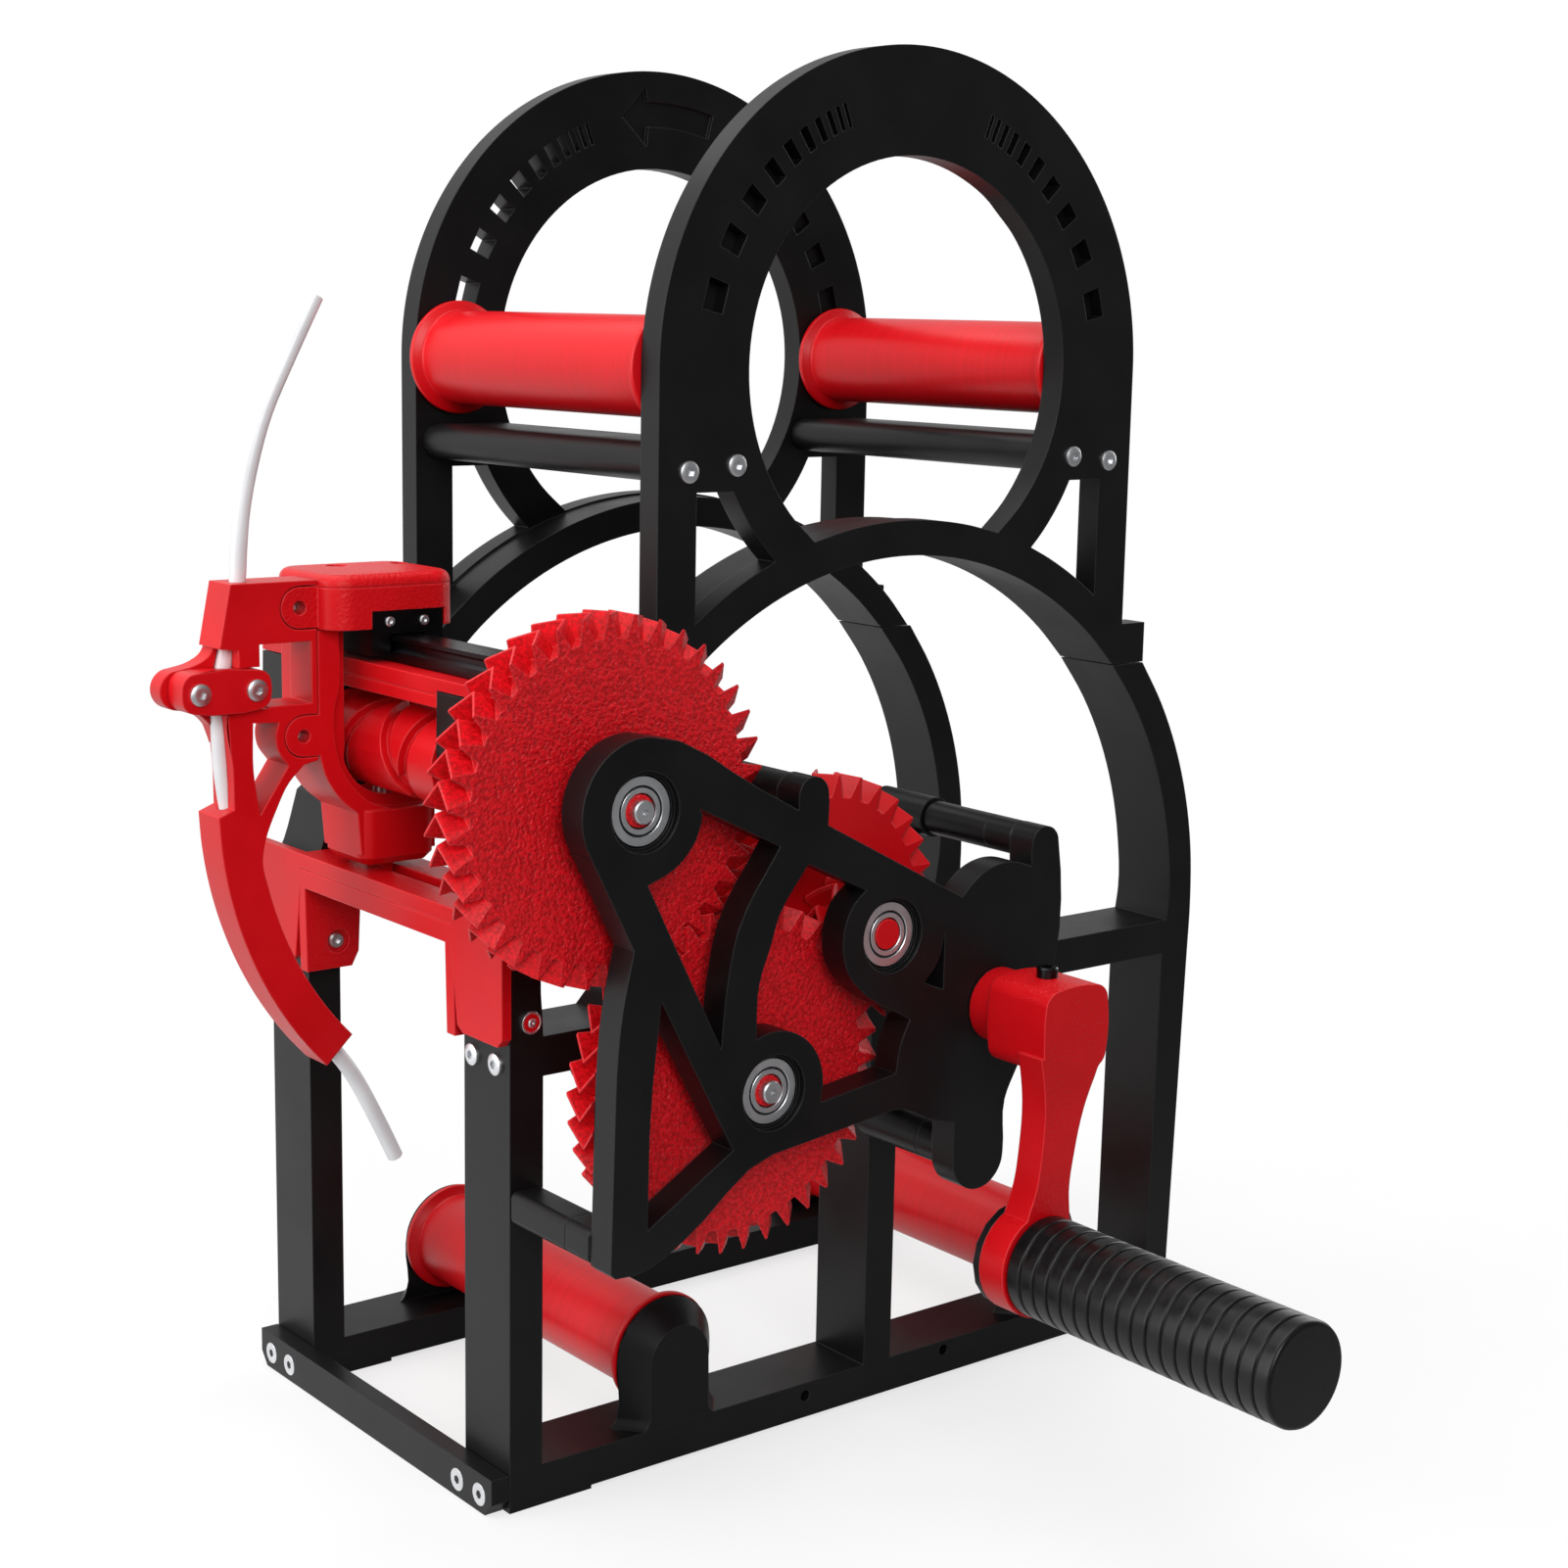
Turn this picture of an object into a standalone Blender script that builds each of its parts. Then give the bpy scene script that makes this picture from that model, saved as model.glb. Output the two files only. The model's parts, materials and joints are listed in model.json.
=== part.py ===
# Filament spool winder: crank, herringbone gear train, cross-groove cam and
# level-wind carriage between two side frames.
# Measures are millimetres: X along the side frames, Y along every axle
# (the crank is at -Y), Z up from the table.
import math

import bmesh
import bpy
import numpy as np
from mathutils import Matrix, Vector

MM = 0.001
GAP = 0.3
INSET = 0.05
FINE = 24
FINEST = 32
ROUND = 16
COARSE = 10

CROSSBAR_X = (-123.75, 113.0)

# Outer reach of the assembly, used to centre it on the origin.
X_REACH = (-170.5, CROSSBAR_X[1])
Y_REACH = (-209.3, 59.5)
CENTRE = Vector(((X_REACH[0] + X_REACH[1]) / 2, (Y_REACH[0] + Y_REACH[1]) / 2, 0.0))

# Side frames
FRAME_Y = 58.4
FRAME_DEPTH = 20.0
FRAME_IN = FRAME_Y - FRAME_DEPTH
BEAM_TOP = 10.3
POST_X = (-118.6, -109.4)
ARCH_Z = 123.0
ARCH_OUT = 110.6
ARCH_IN = 101.7
SPLIT_Z = 191.8
BAR_Z = (107.4, 117.0)
STRUT_X = (-8.0, 1.2)
STRUT_R = 4.4
STRUT_SETBACK = 8.0
BOSS_R = 17.0
HOLDER_R = (8.9, 14.4)
HOLDER_DEPTH = 7.0
ROLLER_R = 12.2
FLANGE_R = 14.8
ROLLER_Y = 50.7
AXLE_R = 2.5
LOWER_ROLLERS = ((-68.4, 26.9), (61.4, 26.9))
UPPER_ROLLERS = ((-65.5, 271.1), (65.5, 271.1))

# Ring frames
RING_Z = 271.1
RING_OUT = 78.0
RING_HOLE = 51.8
RING_DEPTH = 7.2
RING_TOP = 130.0
BAND_STEP = 0.6
LEG_IN = 66.8
SHOULDER = (86.7, 202.8)
WINDOW_TOP = 242.3
WINDOW_R = 62.8
SLOT_R = (61.3, 67.3)
SLOT_COUNT = 10
SLOT_START = 15.2
SLOT_STEP = 12.4
SLOT_WIDTH = 6.6
SLOT_SHRINK = 0.8
TIE_X = (49.0, 76.0)
TIE_Z = (244.4, 253.9)

# Gear train: a module, four axles and the tooth counts that place them.
MODULE = 2.08
ADDENDUM = 2.6
DEDENDUM = 2.9
TOOTH_SHARE = 0.45
PRESSURE = math.radians(20.0)
HELIX = math.radians(45.0)
HELIX_STEP = math.radians(20.0)
CRANK_PINION_TURN = math.radians(-11.9)
SECOND_PINION_TURN = math.radians(8.1)
PINION_TEETH = 8
SECOND_TEETH = 31
LARGE_TEETH = 38
CRANK = (-3.5, 118.0)
CAM = (-110.0, 177.0)
GEAR_FRONT = (-86.5, -76.5)
GEAR_REAR = (-74.5, -65.5)
SHAFT_R = 3.7
BEARING_R = (4.0, 7.9)
BEARING_WIDTH = 5.0
POCKET_R = 8.2
SHAFT_HOLE = 5.0

# Gearbox plate and the four bars that hold it off the near frame
PLATE_Y = (-99.5, -91.5)
STANDOFF_MIDDLE = (-62.7, 175.7)
STANDOFF_RIGHT = (11.6, 156.3)
STANDOFF_LOW = (-7.7, 79.3)
STANDOFF_LEFT_Z = (72.8, 81.0)

# Cam and level wind
DRUM_R = 11.5
DRUM_Y = 28.6
CAM_LEAD = 32.0
CAM_STROKE = (-18.0, 24.0)
CAM_HALF_CYCLE = 720.0
GROOVE_WIDTH = 4.4
GROOVE_DEPTH = 2.0
EAR_IN = 29.0
RAIL_X = -110.0
BEAM_Z = (191.5, 195.7, 198.5)
CARRIAGE_Y = 16.0
GUIDE_Z = (136.5, 145.2)
COVER_X = (-131.8, -95.4)
COVER_Z = (207.0, 220.3)
SWEEP = (-59.1, 166.9)
SWEEP_R = 94.7

# Crank
CRANK_LENGTH = 58.0
CRANK_LEAN = math.radians(8.4)
HUB_Y = (-127.6, -108.0)
ARM_Y = (-127.6, -119.5)
GRIP_Y = (-209.3, -128.0)
GRIP_R = 12.4


def meet(origin, r_origin, other, r_other, side):
    """Point at two given distances from two axles."""
    a, b = Vector(origin), Vector(other)
    span = (b - a).length
    along = (span**2 + r_origin**2 - r_other**2) / (2 * span)
    rise = math.sqrt(r_origin**2 - along**2)
    unit = (b - a) / span
    return tuple(a + unit * along + Vector((-unit.y, unit.x)) * rise * side)


LARGE_SPAN = MODULE * LARGE_TEETH
SECOND_SPAN = MODULE * (PINION_TEETH + LARGE_TEETH) / 2
FIRST_SPAN = MODULE * (PINION_TEETH + SECOND_TEETH) / 2
IDLER = (-72.9, 107.2)
IDLER = tuple(Vector(CAM) + (Vector(IDLER) - Vector(CAM)).normalized() * LARGE_SPAN)
SECOND = meet(CRANK, FIRST_SPAN, IDLER, SECOND_SPAN, -1)
HANDLE = (CRANK[0] - CRANK_LENGTH * math.sin(CRANK_LEAN),
          CRANK[1] - CRANK_LENGTH * math.cos(CRANK_LEAN))

COLOURS = {
    "black_plastic": ((0.012, 0.012, 0.013), 0.55, 0.0),
    "red_plastic": ((0.72, 0.008, 0.016), 0.42, 0.0),
    "steel": ((0.55, 0.56, 0.58), 0.28, 1.0),
    "dark_steel": ((0.03, 0.03, 0.035), 0.3, 0.8),
    "white_tube": ((0.82, 0.83, 0.85), 0.35, 0.0),
    "grip_rubber": ((0.01, 0.01, 0.011), 0.45, 0.0),
}


def start_scene():
    for old in list(bpy.data.objects):
        bpy.data.objects.remove(old, do_unlink=True)
    groups = {}
    for name in ("filament_spool_winder", "cutters"):
        groups[name] = bpy.data.collections.new(name)
        bpy.context.scene.collection.children.link(groups[name])
    return groups["filament_spool_winder"], groups["cutters"]


PARTS, TOOLS = start_scene()


def material(part, kind):
    colour, roughness, metallic = COLOURS[kind]
    made = bpy.data.materials.new(part + "_" + kind)
    made.use_nodes = True
    shader = made.node_tree.nodes["Principled BSDF"]
    shader.inputs["Base Color"].default_value = (*colour, 1.0)
    shader.inputs["Roughness"].default_value = roughness
    shader.inputs["Metallic"].default_value = metallic
    made.diffuse_color = (*colour, 1.0)
    return made


def body(bm, name):
    bmesh.ops.remove_doubles(bm, verts=bm.verts, dist=0.00001)
    bmesh.ops.recalc_face_normals(bm, faces=bm.faces)
    mesh = bpy.data.meshes.new(name)
    bm.to_mesh(mesh)
    bm.free()
    made = bpy.data.objects.new(name, mesh)
    TOOLS.objects.link(made)
    made.hide_render = True
    made.display_type = "WIRE"
    return made


def point(x, y, z):
    return (Vector((x, y, z)) - CENTRE) * MM


def prism(name, loops, near, far):
    """A flat outline in X and Z with its holes, filled from near to far along Y."""
    curve = bpy.data.curves.new(name, "CURVE")
    curve.dimensions = "2D"
    curve.fill_mode = "BOTH"
    curve.extrude = (far - near) / 2 * MM
    for loop in loops:
        spline = curve.splines.new("POLY")
        spline.points.add(len(loop) - 1)
        spline.use_cyclic_u = True
        for knot, (x, z) in zip(spline.points, loop):
            knot.co = (x * MM, z * MM, 0.0, 1.0)
    sketch = bpy.data.objects.new(name + "_sketch", curve)
    TOOLS.objects.link(sketch)
    sketch.rotation_euler = (math.pi / 2, 0.0, 0.0)
    sketch.location = point(0.0, (near + far) / 2, 0.0)
    bpy.context.view_layer.update()
    depsgraph = bpy.context.evaluated_depsgraph_get()
    mesh = bpy.data.meshes.new_from_object(sketch.evaluated_get(depsgraph))
    mesh.transform(sketch.matrix_world)
    bpy.data.objects.remove(sketch, do_unlink=True)
    bm = bmesh.new()
    bm.from_mesh(mesh)
    return body(bm, name)


def box(name, xs, ys, zs):
    corners = ((xs[0], zs[0]), (xs[1], zs[0]), (xs[1], zs[1]), (xs[0], zs[1]))
    return layers(name, [(y, corners) for y in ys])


def layers(name, rows):
    """A closed skin through outlines (x, z) with equal counts, each at its own Y."""
    bm = bmesh.new()
    rings = [[bm.verts.new(point(x, y, z)) for x, z in loop] for y, loop in rows]
    for low, high in zip(rings, rings[1:]):
        for i in range(len(low)):
            j = (i + 1) % len(low)
            bm.faces.new((low[i], low[j], high[j], high[i]))
    bm.faces.new(rings[0])
    bm.faces.new(rings[-1])
    return body(bm, name)


def turned(name, profile, axis, steps=FINE, bored=False):
    """A turned body about an axle along Y; the profile is (y, radius) points."""
    bm = bmesh.new()
    rings = []
    for y, radius in profile:
        ring = []
        for k in range(steps):
            angle = 2 * math.pi * k / steps
            ring.append(bm.verts.new(point(axis[0] + radius * math.cos(angle), y,
                                           axis[1] + radius * math.sin(angle))))
        rings.append(ring)
    pairs = list(zip(rings, rings[1:]))
    if bored:
        pairs.append((rings[-1], rings[0]))
    else:
        bm.faces.new(rings[0])
        bm.faces.new(rings[-1])
    for low, high in pairs:
        for i in range(steps):
            j = (i + 1) % steps
            bm.faces.new((low[i], low[j], high[j], high[i]))
    return body(bm, name)


def rod(name, axis, radius, near, far, steps=ROUND):
    return turned(name, ((near, radius), (far, radius)), axis, steps)


def combine(base, tools, operation):
    for tool in tools:
        step = base.modifiers.new(tool.name, "BOOLEAN")
        step.operation = operation
        step.solver = "EXACT"
        step.object = tool
    return base


def add(base, *tools):
    return combine(base, tools, "UNION")


def cut(base, *tools):
    return combine(base, tools, "DIFFERENCE")


def publish(made, name, kind, pivot=None):
    """Name a finished sub-part, give it a material and put its origin on its axle."""
    made.name = name
    made.data.name = name
    TOOLS.objects.unlink(made)
    PARTS.objects.link(made)
    made.hide_render = False
    made.display_type = "TEXTURED"
    made.data.materials.clear()
    made.data.materials.append(material(name, kind))
    if pivot is not None:
        place = point(*pivot)
        made.data.transform(Matrix.Translation(-place))
        made.location = place
    made.data.set_sharp_from_angle(angle=math.radians(35))
    for face in made.data.polygons:
        face.use_smooth = True
    return made


def arc(centre, radius, start, end, steps):
    """Points on an arc, angles in degrees, both ends included."""
    return [(centre[0] + radius * math.cos(math.radians(start + (end - start) * k / steps)),
             centre[1] + radius * math.sin(math.radians(start + (end - start) * k / steps)))
            for k in range(steps + 1)]


def mirrored(loop):
    return [(-x, z) for x, z in reversed(loop)]


def capsule(a, b, radius, steps=8):
    """Outline of a straight bar with round ends from a to b."""
    turn = math.degrees(math.atan2(b[1] - a[1], b[0] - a[0]))
    return (arc(b, radius, turn - 90, turn + 90, steps)
            + arc(a, radius, turn + 90, turn + 270, steps))


def bar(a, b, radius):
    """Outline of a straight bar with square ends from a to b."""
    side = (Vector(b) - Vector(a)).normalized().orthogonal() * radius
    return [tuple(Vector(end) + way * side) for end, way in ((a, 1), (a, -1), (b, -1), (b, 1))]


def rounded(xs, zs, radius, steps=4):
    """Rectangle outline with equal corner rounds."""
    (x0, x1), (z0, z1) = xs, zs
    return (arc((x1 - radius, z1 - radius), radius, 0, 90, steps)
            + arc((x0 + radius, z1 - radius), radius, 90, 180, steps)
            + arc((x0 + radius, z0 + radius), radius, 180, 270, steps)
            + arc((x1 - radius, z0 + radius), radius, 270, 360, steps))


def skin(name, rings):
    """A closed skin through rings of world points with equal counts."""
    bm = bmesh.new()
    rings = [[bm.verts.new(co) for co in ring] for ring in rings]
    for low, high in zip(rings, rings[1:]):
        for i in range(len(low)):
            j = (i + 1) % len(low)
            bm.faces.new((low[i], low[j], high[j], high[i]))
    bm.faces.new(rings[0])
    bm.faces.new(rings[-1])
    return body(bm, name)


def involute_tooth(teeth):
    """(angle, radius) points of one tooth about angle zero."""
    pitch = MODULE * teeth / 2
    base = pitch * math.cos(PRESSURE)
    half = TOOTH_SHARE * math.pi / teeth + math.tan(PRESSURE) - PRESSURE
    flank = []
    for radius in (pitch - DEDENDUM, pitch + ADDENDUM):
        roll = math.acos(min(1.0, base / radius))
        flank.append((half - math.tan(roll) + roll, radius))
    return [(-a, r) for a, r in flank] + [(a, r) for a, r in reversed(flank)]


def conjugate_tooth(teeth, mate_teeth, span, samples=6, clearance=0.3):
    """Tooth left standing when the mating gear's tooth is rolled past a blank."""
    outline = involute_tooth(mate_teeth)
    dense = []
    for (a0, r0), (a1, r1) in zip(outline, outline[1:]):
        for k in range(24):
            t = k / 23
            x = r0 * math.cos(a0) * (1 - t) + r1 * math.cos(a1) * t
            z = r0 * math.sin(a0) * (1 - t) + r1 * math.sin(a1) * t
            dense.append((x, z))
    ring = [(clearance * math.cos(k * math.pi / 4), clearance * math.sin(k * math.pi / 4))
            for k in range(8)]
    swept = np.array([(x + dx, z + dz) for x, z in dense for dx, dz in ring])
    half = math.pi / teeth
    floor = np.full(samples * 4, MODULE * teeth / 2 + ADDENDUM)
    for turn in np.linspace(-1.5, 1.5, 241):
        roll = math.pi - turn * teeth / mate_teeth
        x = span + swept[:, 0] * math.cos(roll) - swept[:, 1] * math.sin(roll)
        z = swept[:, 0] * math.sin(roll) + swept[:, 1] * math.cos(roll)
        angle = np.arctan2(z, x) - turn
        folded = np.abs((angle + half) % (2 * half) - half)
        cell = np.minimum((folded / half * len(floor)).astype(int), len(floor) - 1)
        np.minimum.at(floor, cell, np.hypot(x, z))
    flank = []
    for k in range(samples):
        lowest = floor[max(0, 4 * k - 1):4 * k + 5].min()
        flank.append((-half + half * (k + 0.5) / samples, float(lowest)))
    return flank + [(-a, r) for a, r in reversed(flank)]


def gear(name, tooth, teeth, axis, phase, way, ys):
    """Herringbone gear: the tooth outline turns to mid-width and back."""
    half = (ys[1] - ys[0]) / 2
    twist = half * math.tan(HELIX) / (MODULE * teeth / 2)
    steps = math.ceil(twist / HELIX_STEP)
    rows = []
    for row in range(-steps, steps + 1):
        y = (ys[0] + ys[1]) / 2 + half * row / steps
        turn = way * twist * (1 - abs(row) / steps)
        loop = []
        for k in range(teeth):
            centre = phase + turn + 2 * math.pi * k / teeth
            loop += [(axis[0] + r * math.cos(centre + a), axis[1] + r * math.sin(centre + a))
                     for a, r in tooth]
        rows.append((y, loop))
    return layers(name, rows)


def mesh_phase(driver, driver_teeth, driver_phase, driven, driven_teeth):
    """Phase that puts a gap of the driven gear opposite a tooth of the driver."""
    way = math.atan2(driven[1] - driver[1], driven[0] - driver[0])
    turns = 0.5 - (way - driver_phase) * driver_teeth / (2 * math.pi)
    return way + math.pi - turns * 2 * math.pi / driven_teeth


def arch_angle(radius, z):
    return math.degrees(math.asin((z - ARCH_Z) / radius))


def side_outline(bars):
    """Arch, post, leg and base beam as one loop; open at the top between the splits."""
    outer_split = arch_angle(ARCH_OUT, SPLIT_Z - GAP / 2)
    inner_split = arch_angle(ARCH_IN, SPLIT_Z - GAP / 2)
    centre = (0.0, ARCH_Z)
    loop = [(POST_X[0], 0.0), (107.6, 0.0), (107.7, 17.0), (110.2, 105.0)]
    loop += arc(centre, ARCH_OUT, 0.0, outer_split, 5)
    loop += arc(centre, ARCH_IN, inner_split, 0.0, 5)
    loop += bars
    loop += [(POST_X[1], 137.0), (-105.2, 147.0)]
    loop += arc(centre, ARCH_IN, 180 - arch_angle(ARCH_IN, 160.0), 180 - inner_split, 4)
    loop += arc(centre, ARCH_OUT, 180 - outer_split, 180 - arch_angle(ARCH_OUT, 165.0), 4)
    return loop + [(-110.7, 157.7), (-114.8, 144.6), (POST_X[0], 136.5)]


def boss_arc(axis, start, end, steps):
    """Arc of a bearing boss between two points near its rim, turning as told by steps."""
    a = math.degrees(math.atan2(start[1] - axis[1], start[0] - axis[0]))
    b = math.degrees(math.atan2(end[1] - axis[1], end[0] - axis[0]))
    if steps > 0 and b < a:
        b += 360.0
    if steps < 0 and b > a:
        b -= 360.0
    return arc(axis, BOSS_R, a, b, abs(steps))


def rim(axis, z, side):
    return (axis[0] + side * math.sqrt(BOSS_R**2 - (z - axis[1])**2), z)


def rim_below(axis, x):
    return (x, axis[1] - math.sqrt(BOSS_R**2 - (x - axis[0])**2))


def near_bars():
    """Upper edge of the two cross bars with the crank and idler bosses."""
    top = BAR_Z[1]
    loop = [(100.9, top)]
    loop += boss_arc(CRANK, rim(CRANK, top, 1), rim(CRANK, top, -1), 9)
    loop += boss_arc(IDLER, rim(IDLER, top, 1), rim(IDLER, top, -1), 5)
    return loop + [(POST_X[1], top)]


def near_windows():
    low = BAR_Z[0]
    left = [(POST_X[1], BEAM_TOP), (POST_X[1], low)]
    left += boss_arc(IDLER, rim(IDLER, low, -1), rim(IDLER, low, 1), 8)
    left += boss_arc(CRANK, rim(CRANK, low, -1), rim_below(CRANK, STRUT_X[0]), 3)
    left += [(STRUT_X[0], BEAM_TOP)]
    right = boss_arc(CRANK, rim_below(CRANK, STRUT_X[1]), rim(CRANK, low, 1), 3)
    right += [(99.8, low), (99.2, BEAM_TOP), (STRUT_X[1], BEAM_TOP)]
    return [left, right]


def roller_holder(name, centre, side):
    """Upright that flares from its outer face inward to the roller flange."""
    rows = []
    for y, radius in zip((FRAME_Y - INSET, FRAME_Y - HOLDER_DEPTH), HOLDER_R):
        foot = [(centre[0] - radius, BEAM_TOP - 3.0), (centre[0] + radius, BEAM_TOP - 3.0)]
        flare = 2.4
        loop = arc(centre, radius, 0.0, 180.0, 9)
        loop += [(centre[0] - radius, BEAM_TOP + flare)]
        loop += [(centre[0] - radius - flare * 0.35, BEAM_TOP + flare * 0.35)]
        loop += [(centre[0] - radius - flare, BEAM_TOP - 0.4)]
        loop += [foot[0], foot[1]]
        loop += [(centre[0] + radius + flare, BEAM_TOP - 0.4)]
        loop += [(centre[0] + radius + flare * 0.35, BEAM_TOP + flare * 0.35)]
        loop += [(centre[0] + radius, BEAM_TOP + flare)]
        rows.append((side * y, loop))
    return layers(name, rows)


def ear(name, side):
    """Bearing block of the cam beside the arch, flush with the rail beam."""
    top = BEAM_Z[1] - GAP
    loop = [(-88.0, SPLIT_Z - 1.0), (-88.0, top), (-120.0, top)]
    loop += arc(CAM, 10.0, 180.0, 270.0, 6)
    loop += [(-97.0, CAM[1] - 10.0), (-92.0, 176.0)]
    ys = sorted((side * EAR_IN, side * (FRAME_Y - INSET)))
    return prism(name, [loop], ys[0], ys[1])


def side_frame(name, side, bars, windows):
    ys = sorted((side * FRAME_IN, side * FRAME_Y))
    frame = prism(name, [side_outline(bars)] + windows, ys[0], ys[1])
    add(frame, ear(name + "_ear", side))
    for i, centre in enumerate(LOWER_ROLLERS):
        add(frame, roller_holder(f"{name}_holder_{i}", centre, side))
        ends = sorted((side * (FRAME_Y - 1.2), side * (FRAME_Y - HOLDER_DEPTH - 2.0)))
        cut(frame, rod(f"{name}_axle_hole_{i}", centre, AXLE_R + GAP, *ends, steps=COARSE))
    pocket = sorted((side * (FRAME_Y + 1.0), side * (FRAME_Y - BEARING_WIDTH - GAP)))
    hole = sorted((side * (FRAME_Y - 2.0), side * (EAR_IN - 2.0)))
    cut(frame, rod(name + "_cam_pocket", CAM, POCKET_R, *pocket),
        rod(name + "_cam_hole", CAM, SHAFT_HOLE, *hole, steps=COARSE))
    return frame


def far_frame():
    legs = [(99.7, 106.0), (99.2, BEAM_TOP), (POST_X[1], BEAM_TOP)]
    publish(side_frame("far_side_frame", 1, legs, []), "far_side_frame", "black_plastic")


def near_frame():
    frame = side_frame("near_side_frame", -1, near_bars(), near_windows())
    near, far = -FRAME_Y, -FRAME_IN
    struts = (("second", CRANK, SECOND), ("middle", SECOND, STANDOFF_MIDDLE),
              ("arch", STANDOFF_MIDDLE, (-86.2, 185.0)), ("right", CRANK, STANDOFF_RIGHT))
    for k, (label, a, b) in enumerate(struts):
        setback = INSET * (k + 2)
        add(frame, prism(f"near_strut_{label}", [bar(a, b, STRUT_R)],
                         near + STRUT_SETBACK + setback, far - setback))
    add(frame, rod("near_boss_second", SECOND, BOSS_R - 2.0, near, far))
    for label, spot in (("middle", STANDOFF_MIDDLE), ("right", STANDOFF_RIGHT)):
        add(frame, rod(f"near_seat_{label}", spot, 5.2, near, far, steps=COARSE + 2))
    for label, axis in (("crank", CRANK), ("second", SECOND), ("idler", IDLER)):
        cut(frame, rod(f"near_pocket_{label}", axis, POCKET_R, near - 1,
                       near + BEARING_WIDTH + GAP),
            rod(f"near_hole_{label}", axis, SHAFT_HOLE, near + 2.0, far + 1, steps=COARSE))
    return publish(frame, "near_side_frame", "black_plastic")


def ring_outline():
    centre, ring = (0.0, ARCH_Z), (0.0, RING_Z)
    base = SPLIT_Z + GAP / 2
    foot = arch_angle(ARCH_IN, base)
    loop = [(-SHOULDER[0], base), (-SHOULDER[0], SHOULDER[1]), (-RING_OUT, SHOULDER[1])]
    loop += arc(ring, RING_OUT, 180.0, 0.0, 30)
    loop += [(RING_OUT, SHOULDER[1]), (SHOULDER[0], SHOULDER[1]), (SHOULDER[0], base)]
    loop += arc(centre, ARCH_IN, foot, 180.0 - foot, 14)
    return loop


def arch_crossing(radius):
    """Where a circle about the ring meets the arch: its angle about each centre."""
    gap = RING_Z - ARCH_Z
    along = (gap**2 + ARCH_OUT**2 - radius**2) / (2 * gap)
    across = math.sqrt(ARCH_OUT**2 - along**2)
    return (math.degrees(math.atan2(along - gap, across)),
            math.degrees(math.atan2(along, across)))


def ring_hole():
    """The big opening: a circle about the ring, closed below by the arch band."""
    valley, lower = arch_crossing(RING_HOLE)
    loop = arc((0.0, RING_Z), RING_HOLE, valley, 180.0 - valley, 24)
    loop += arc((0.0, ARCH_Z), ARCH_OUT, 180.0 - lower, lower, 6)[1:-1]
    return loop


def ring_window():
    """Three-cornered opening between ring, leg and arch band."""
    top = math.degrees(math.asin((WINDOW_TOP - RING_Z) / WINDOW_R))
    valley, lower = arch_crossing(WINDOW_R)
    corner = math.degrees(math.acos(LEG_IN / ARCH_OUT))
    loop = arc((0.0, RING_Z), WINDOW_R, top, valley, 5)
    return loop + arc((0.0, ARCH_Z), ARCH_OUT, lower, corner, 4)[1:] + [(LEG_IN, WINDOW_TOP)]


def ring_slots():
    slots, angle, step = [], SLOT_START, SLOT_STEP
    for k in range(SLOT_COUNT):
        half = SLOT_WIDTH * SLOT_SHRINK**k / 2
        for side in (1, -1):
            loop = []
            for turn, radius in ((-half, SLOT_R[0]), (-half, SLOT_R[1]), (half, SLOT_R[1]),
                                 (half, SLOT_R[0])):
                a = math.radians(angle + turn)
                loop.append((side * radius * math.cos(a), RING_Z + radius * math.sin(a)))
            slots.append(loop)
        angle += step
        step *= SLOT_SHRINK
    return slots


def ring_frame(name, side):
    window = ring_window()
    loops = [ring_outline(), ring_hole(), window, mirrored(window)] + ring_slots()
    ys = sorted((side * FRAME_Y, side * FRAME_IN))
    frame = prism(name, loops, ys[0], ys[1])
    shallow = arc((0.0, ARCH_Z), ARCH_OUT - BAND_STEP, 150.0, 30.0, 16)
    shallow += [(RING_TOP, shallow[-1][1]), (RING_TOP, RING_TOP * 3), (-RING_TOP, RING_TOP * 3),
                (-RING_TOP, shallow[0][1])]
    ys = sorted((side * (FRAME_Y - RING_DEPTH), side * (FRAME_IN - 1.0)))
    cut(frame, prism(name + "_shallow", [shallow], ys[0], ys[1]))
    for i, centre in enumerate(UPPER_ROLLERS):
        ends = sorted((side * (FRAME_Y - 1.2), side * (FRAME_Y - RING_DEPTH - 2.0)))
        cut(frame, rod(f"{name}_axle_hole_{i}", centre, AXLE_R + GAP, *ends, steps=COARSE))
    return publish(frame, name, "black_plastic")


def plate_outline():
    return ([(-78.7, 179.2), (-67.1, 173.0)]
            + arc((-62.8, 176.0), 4.4, 180.0, 0.0, 8) + [(-58.4, 168.6), (-15.8, 146.3)]
            + arc((-1.5, 136.0), 17.2, 130.0, 62.0, 6) + [(7.1, 151.3)]
            + arc(STANDOFF_RIGHT, 4.5, 180.0, 0.0, 8)
            + [(16.5, 126.5), (12.0, 112.5), (4.5, 100.3), (0.7, 92.8)]
            + arc((-7.7, 79.3), 8.3, 0.0, -180.0, 12)
            + [(-16.0, 89.6), (-22.6, 91.4), (-36.4, 96.4), (-72.7, 92.4), (-98.4, 76.7),
               (-105.9, 73.0), (-110.0, 71.8), (-117.0, 71.8), (-118.3, 73.0), (-117.8, 93.4),
               (-117.3, 114.0), (-115.7, 132.7), (-112.7, 146.4), (-124.2, 168.3)]
            + arc(CAM, 16.6, 212.0, 87.0, 14))


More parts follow.
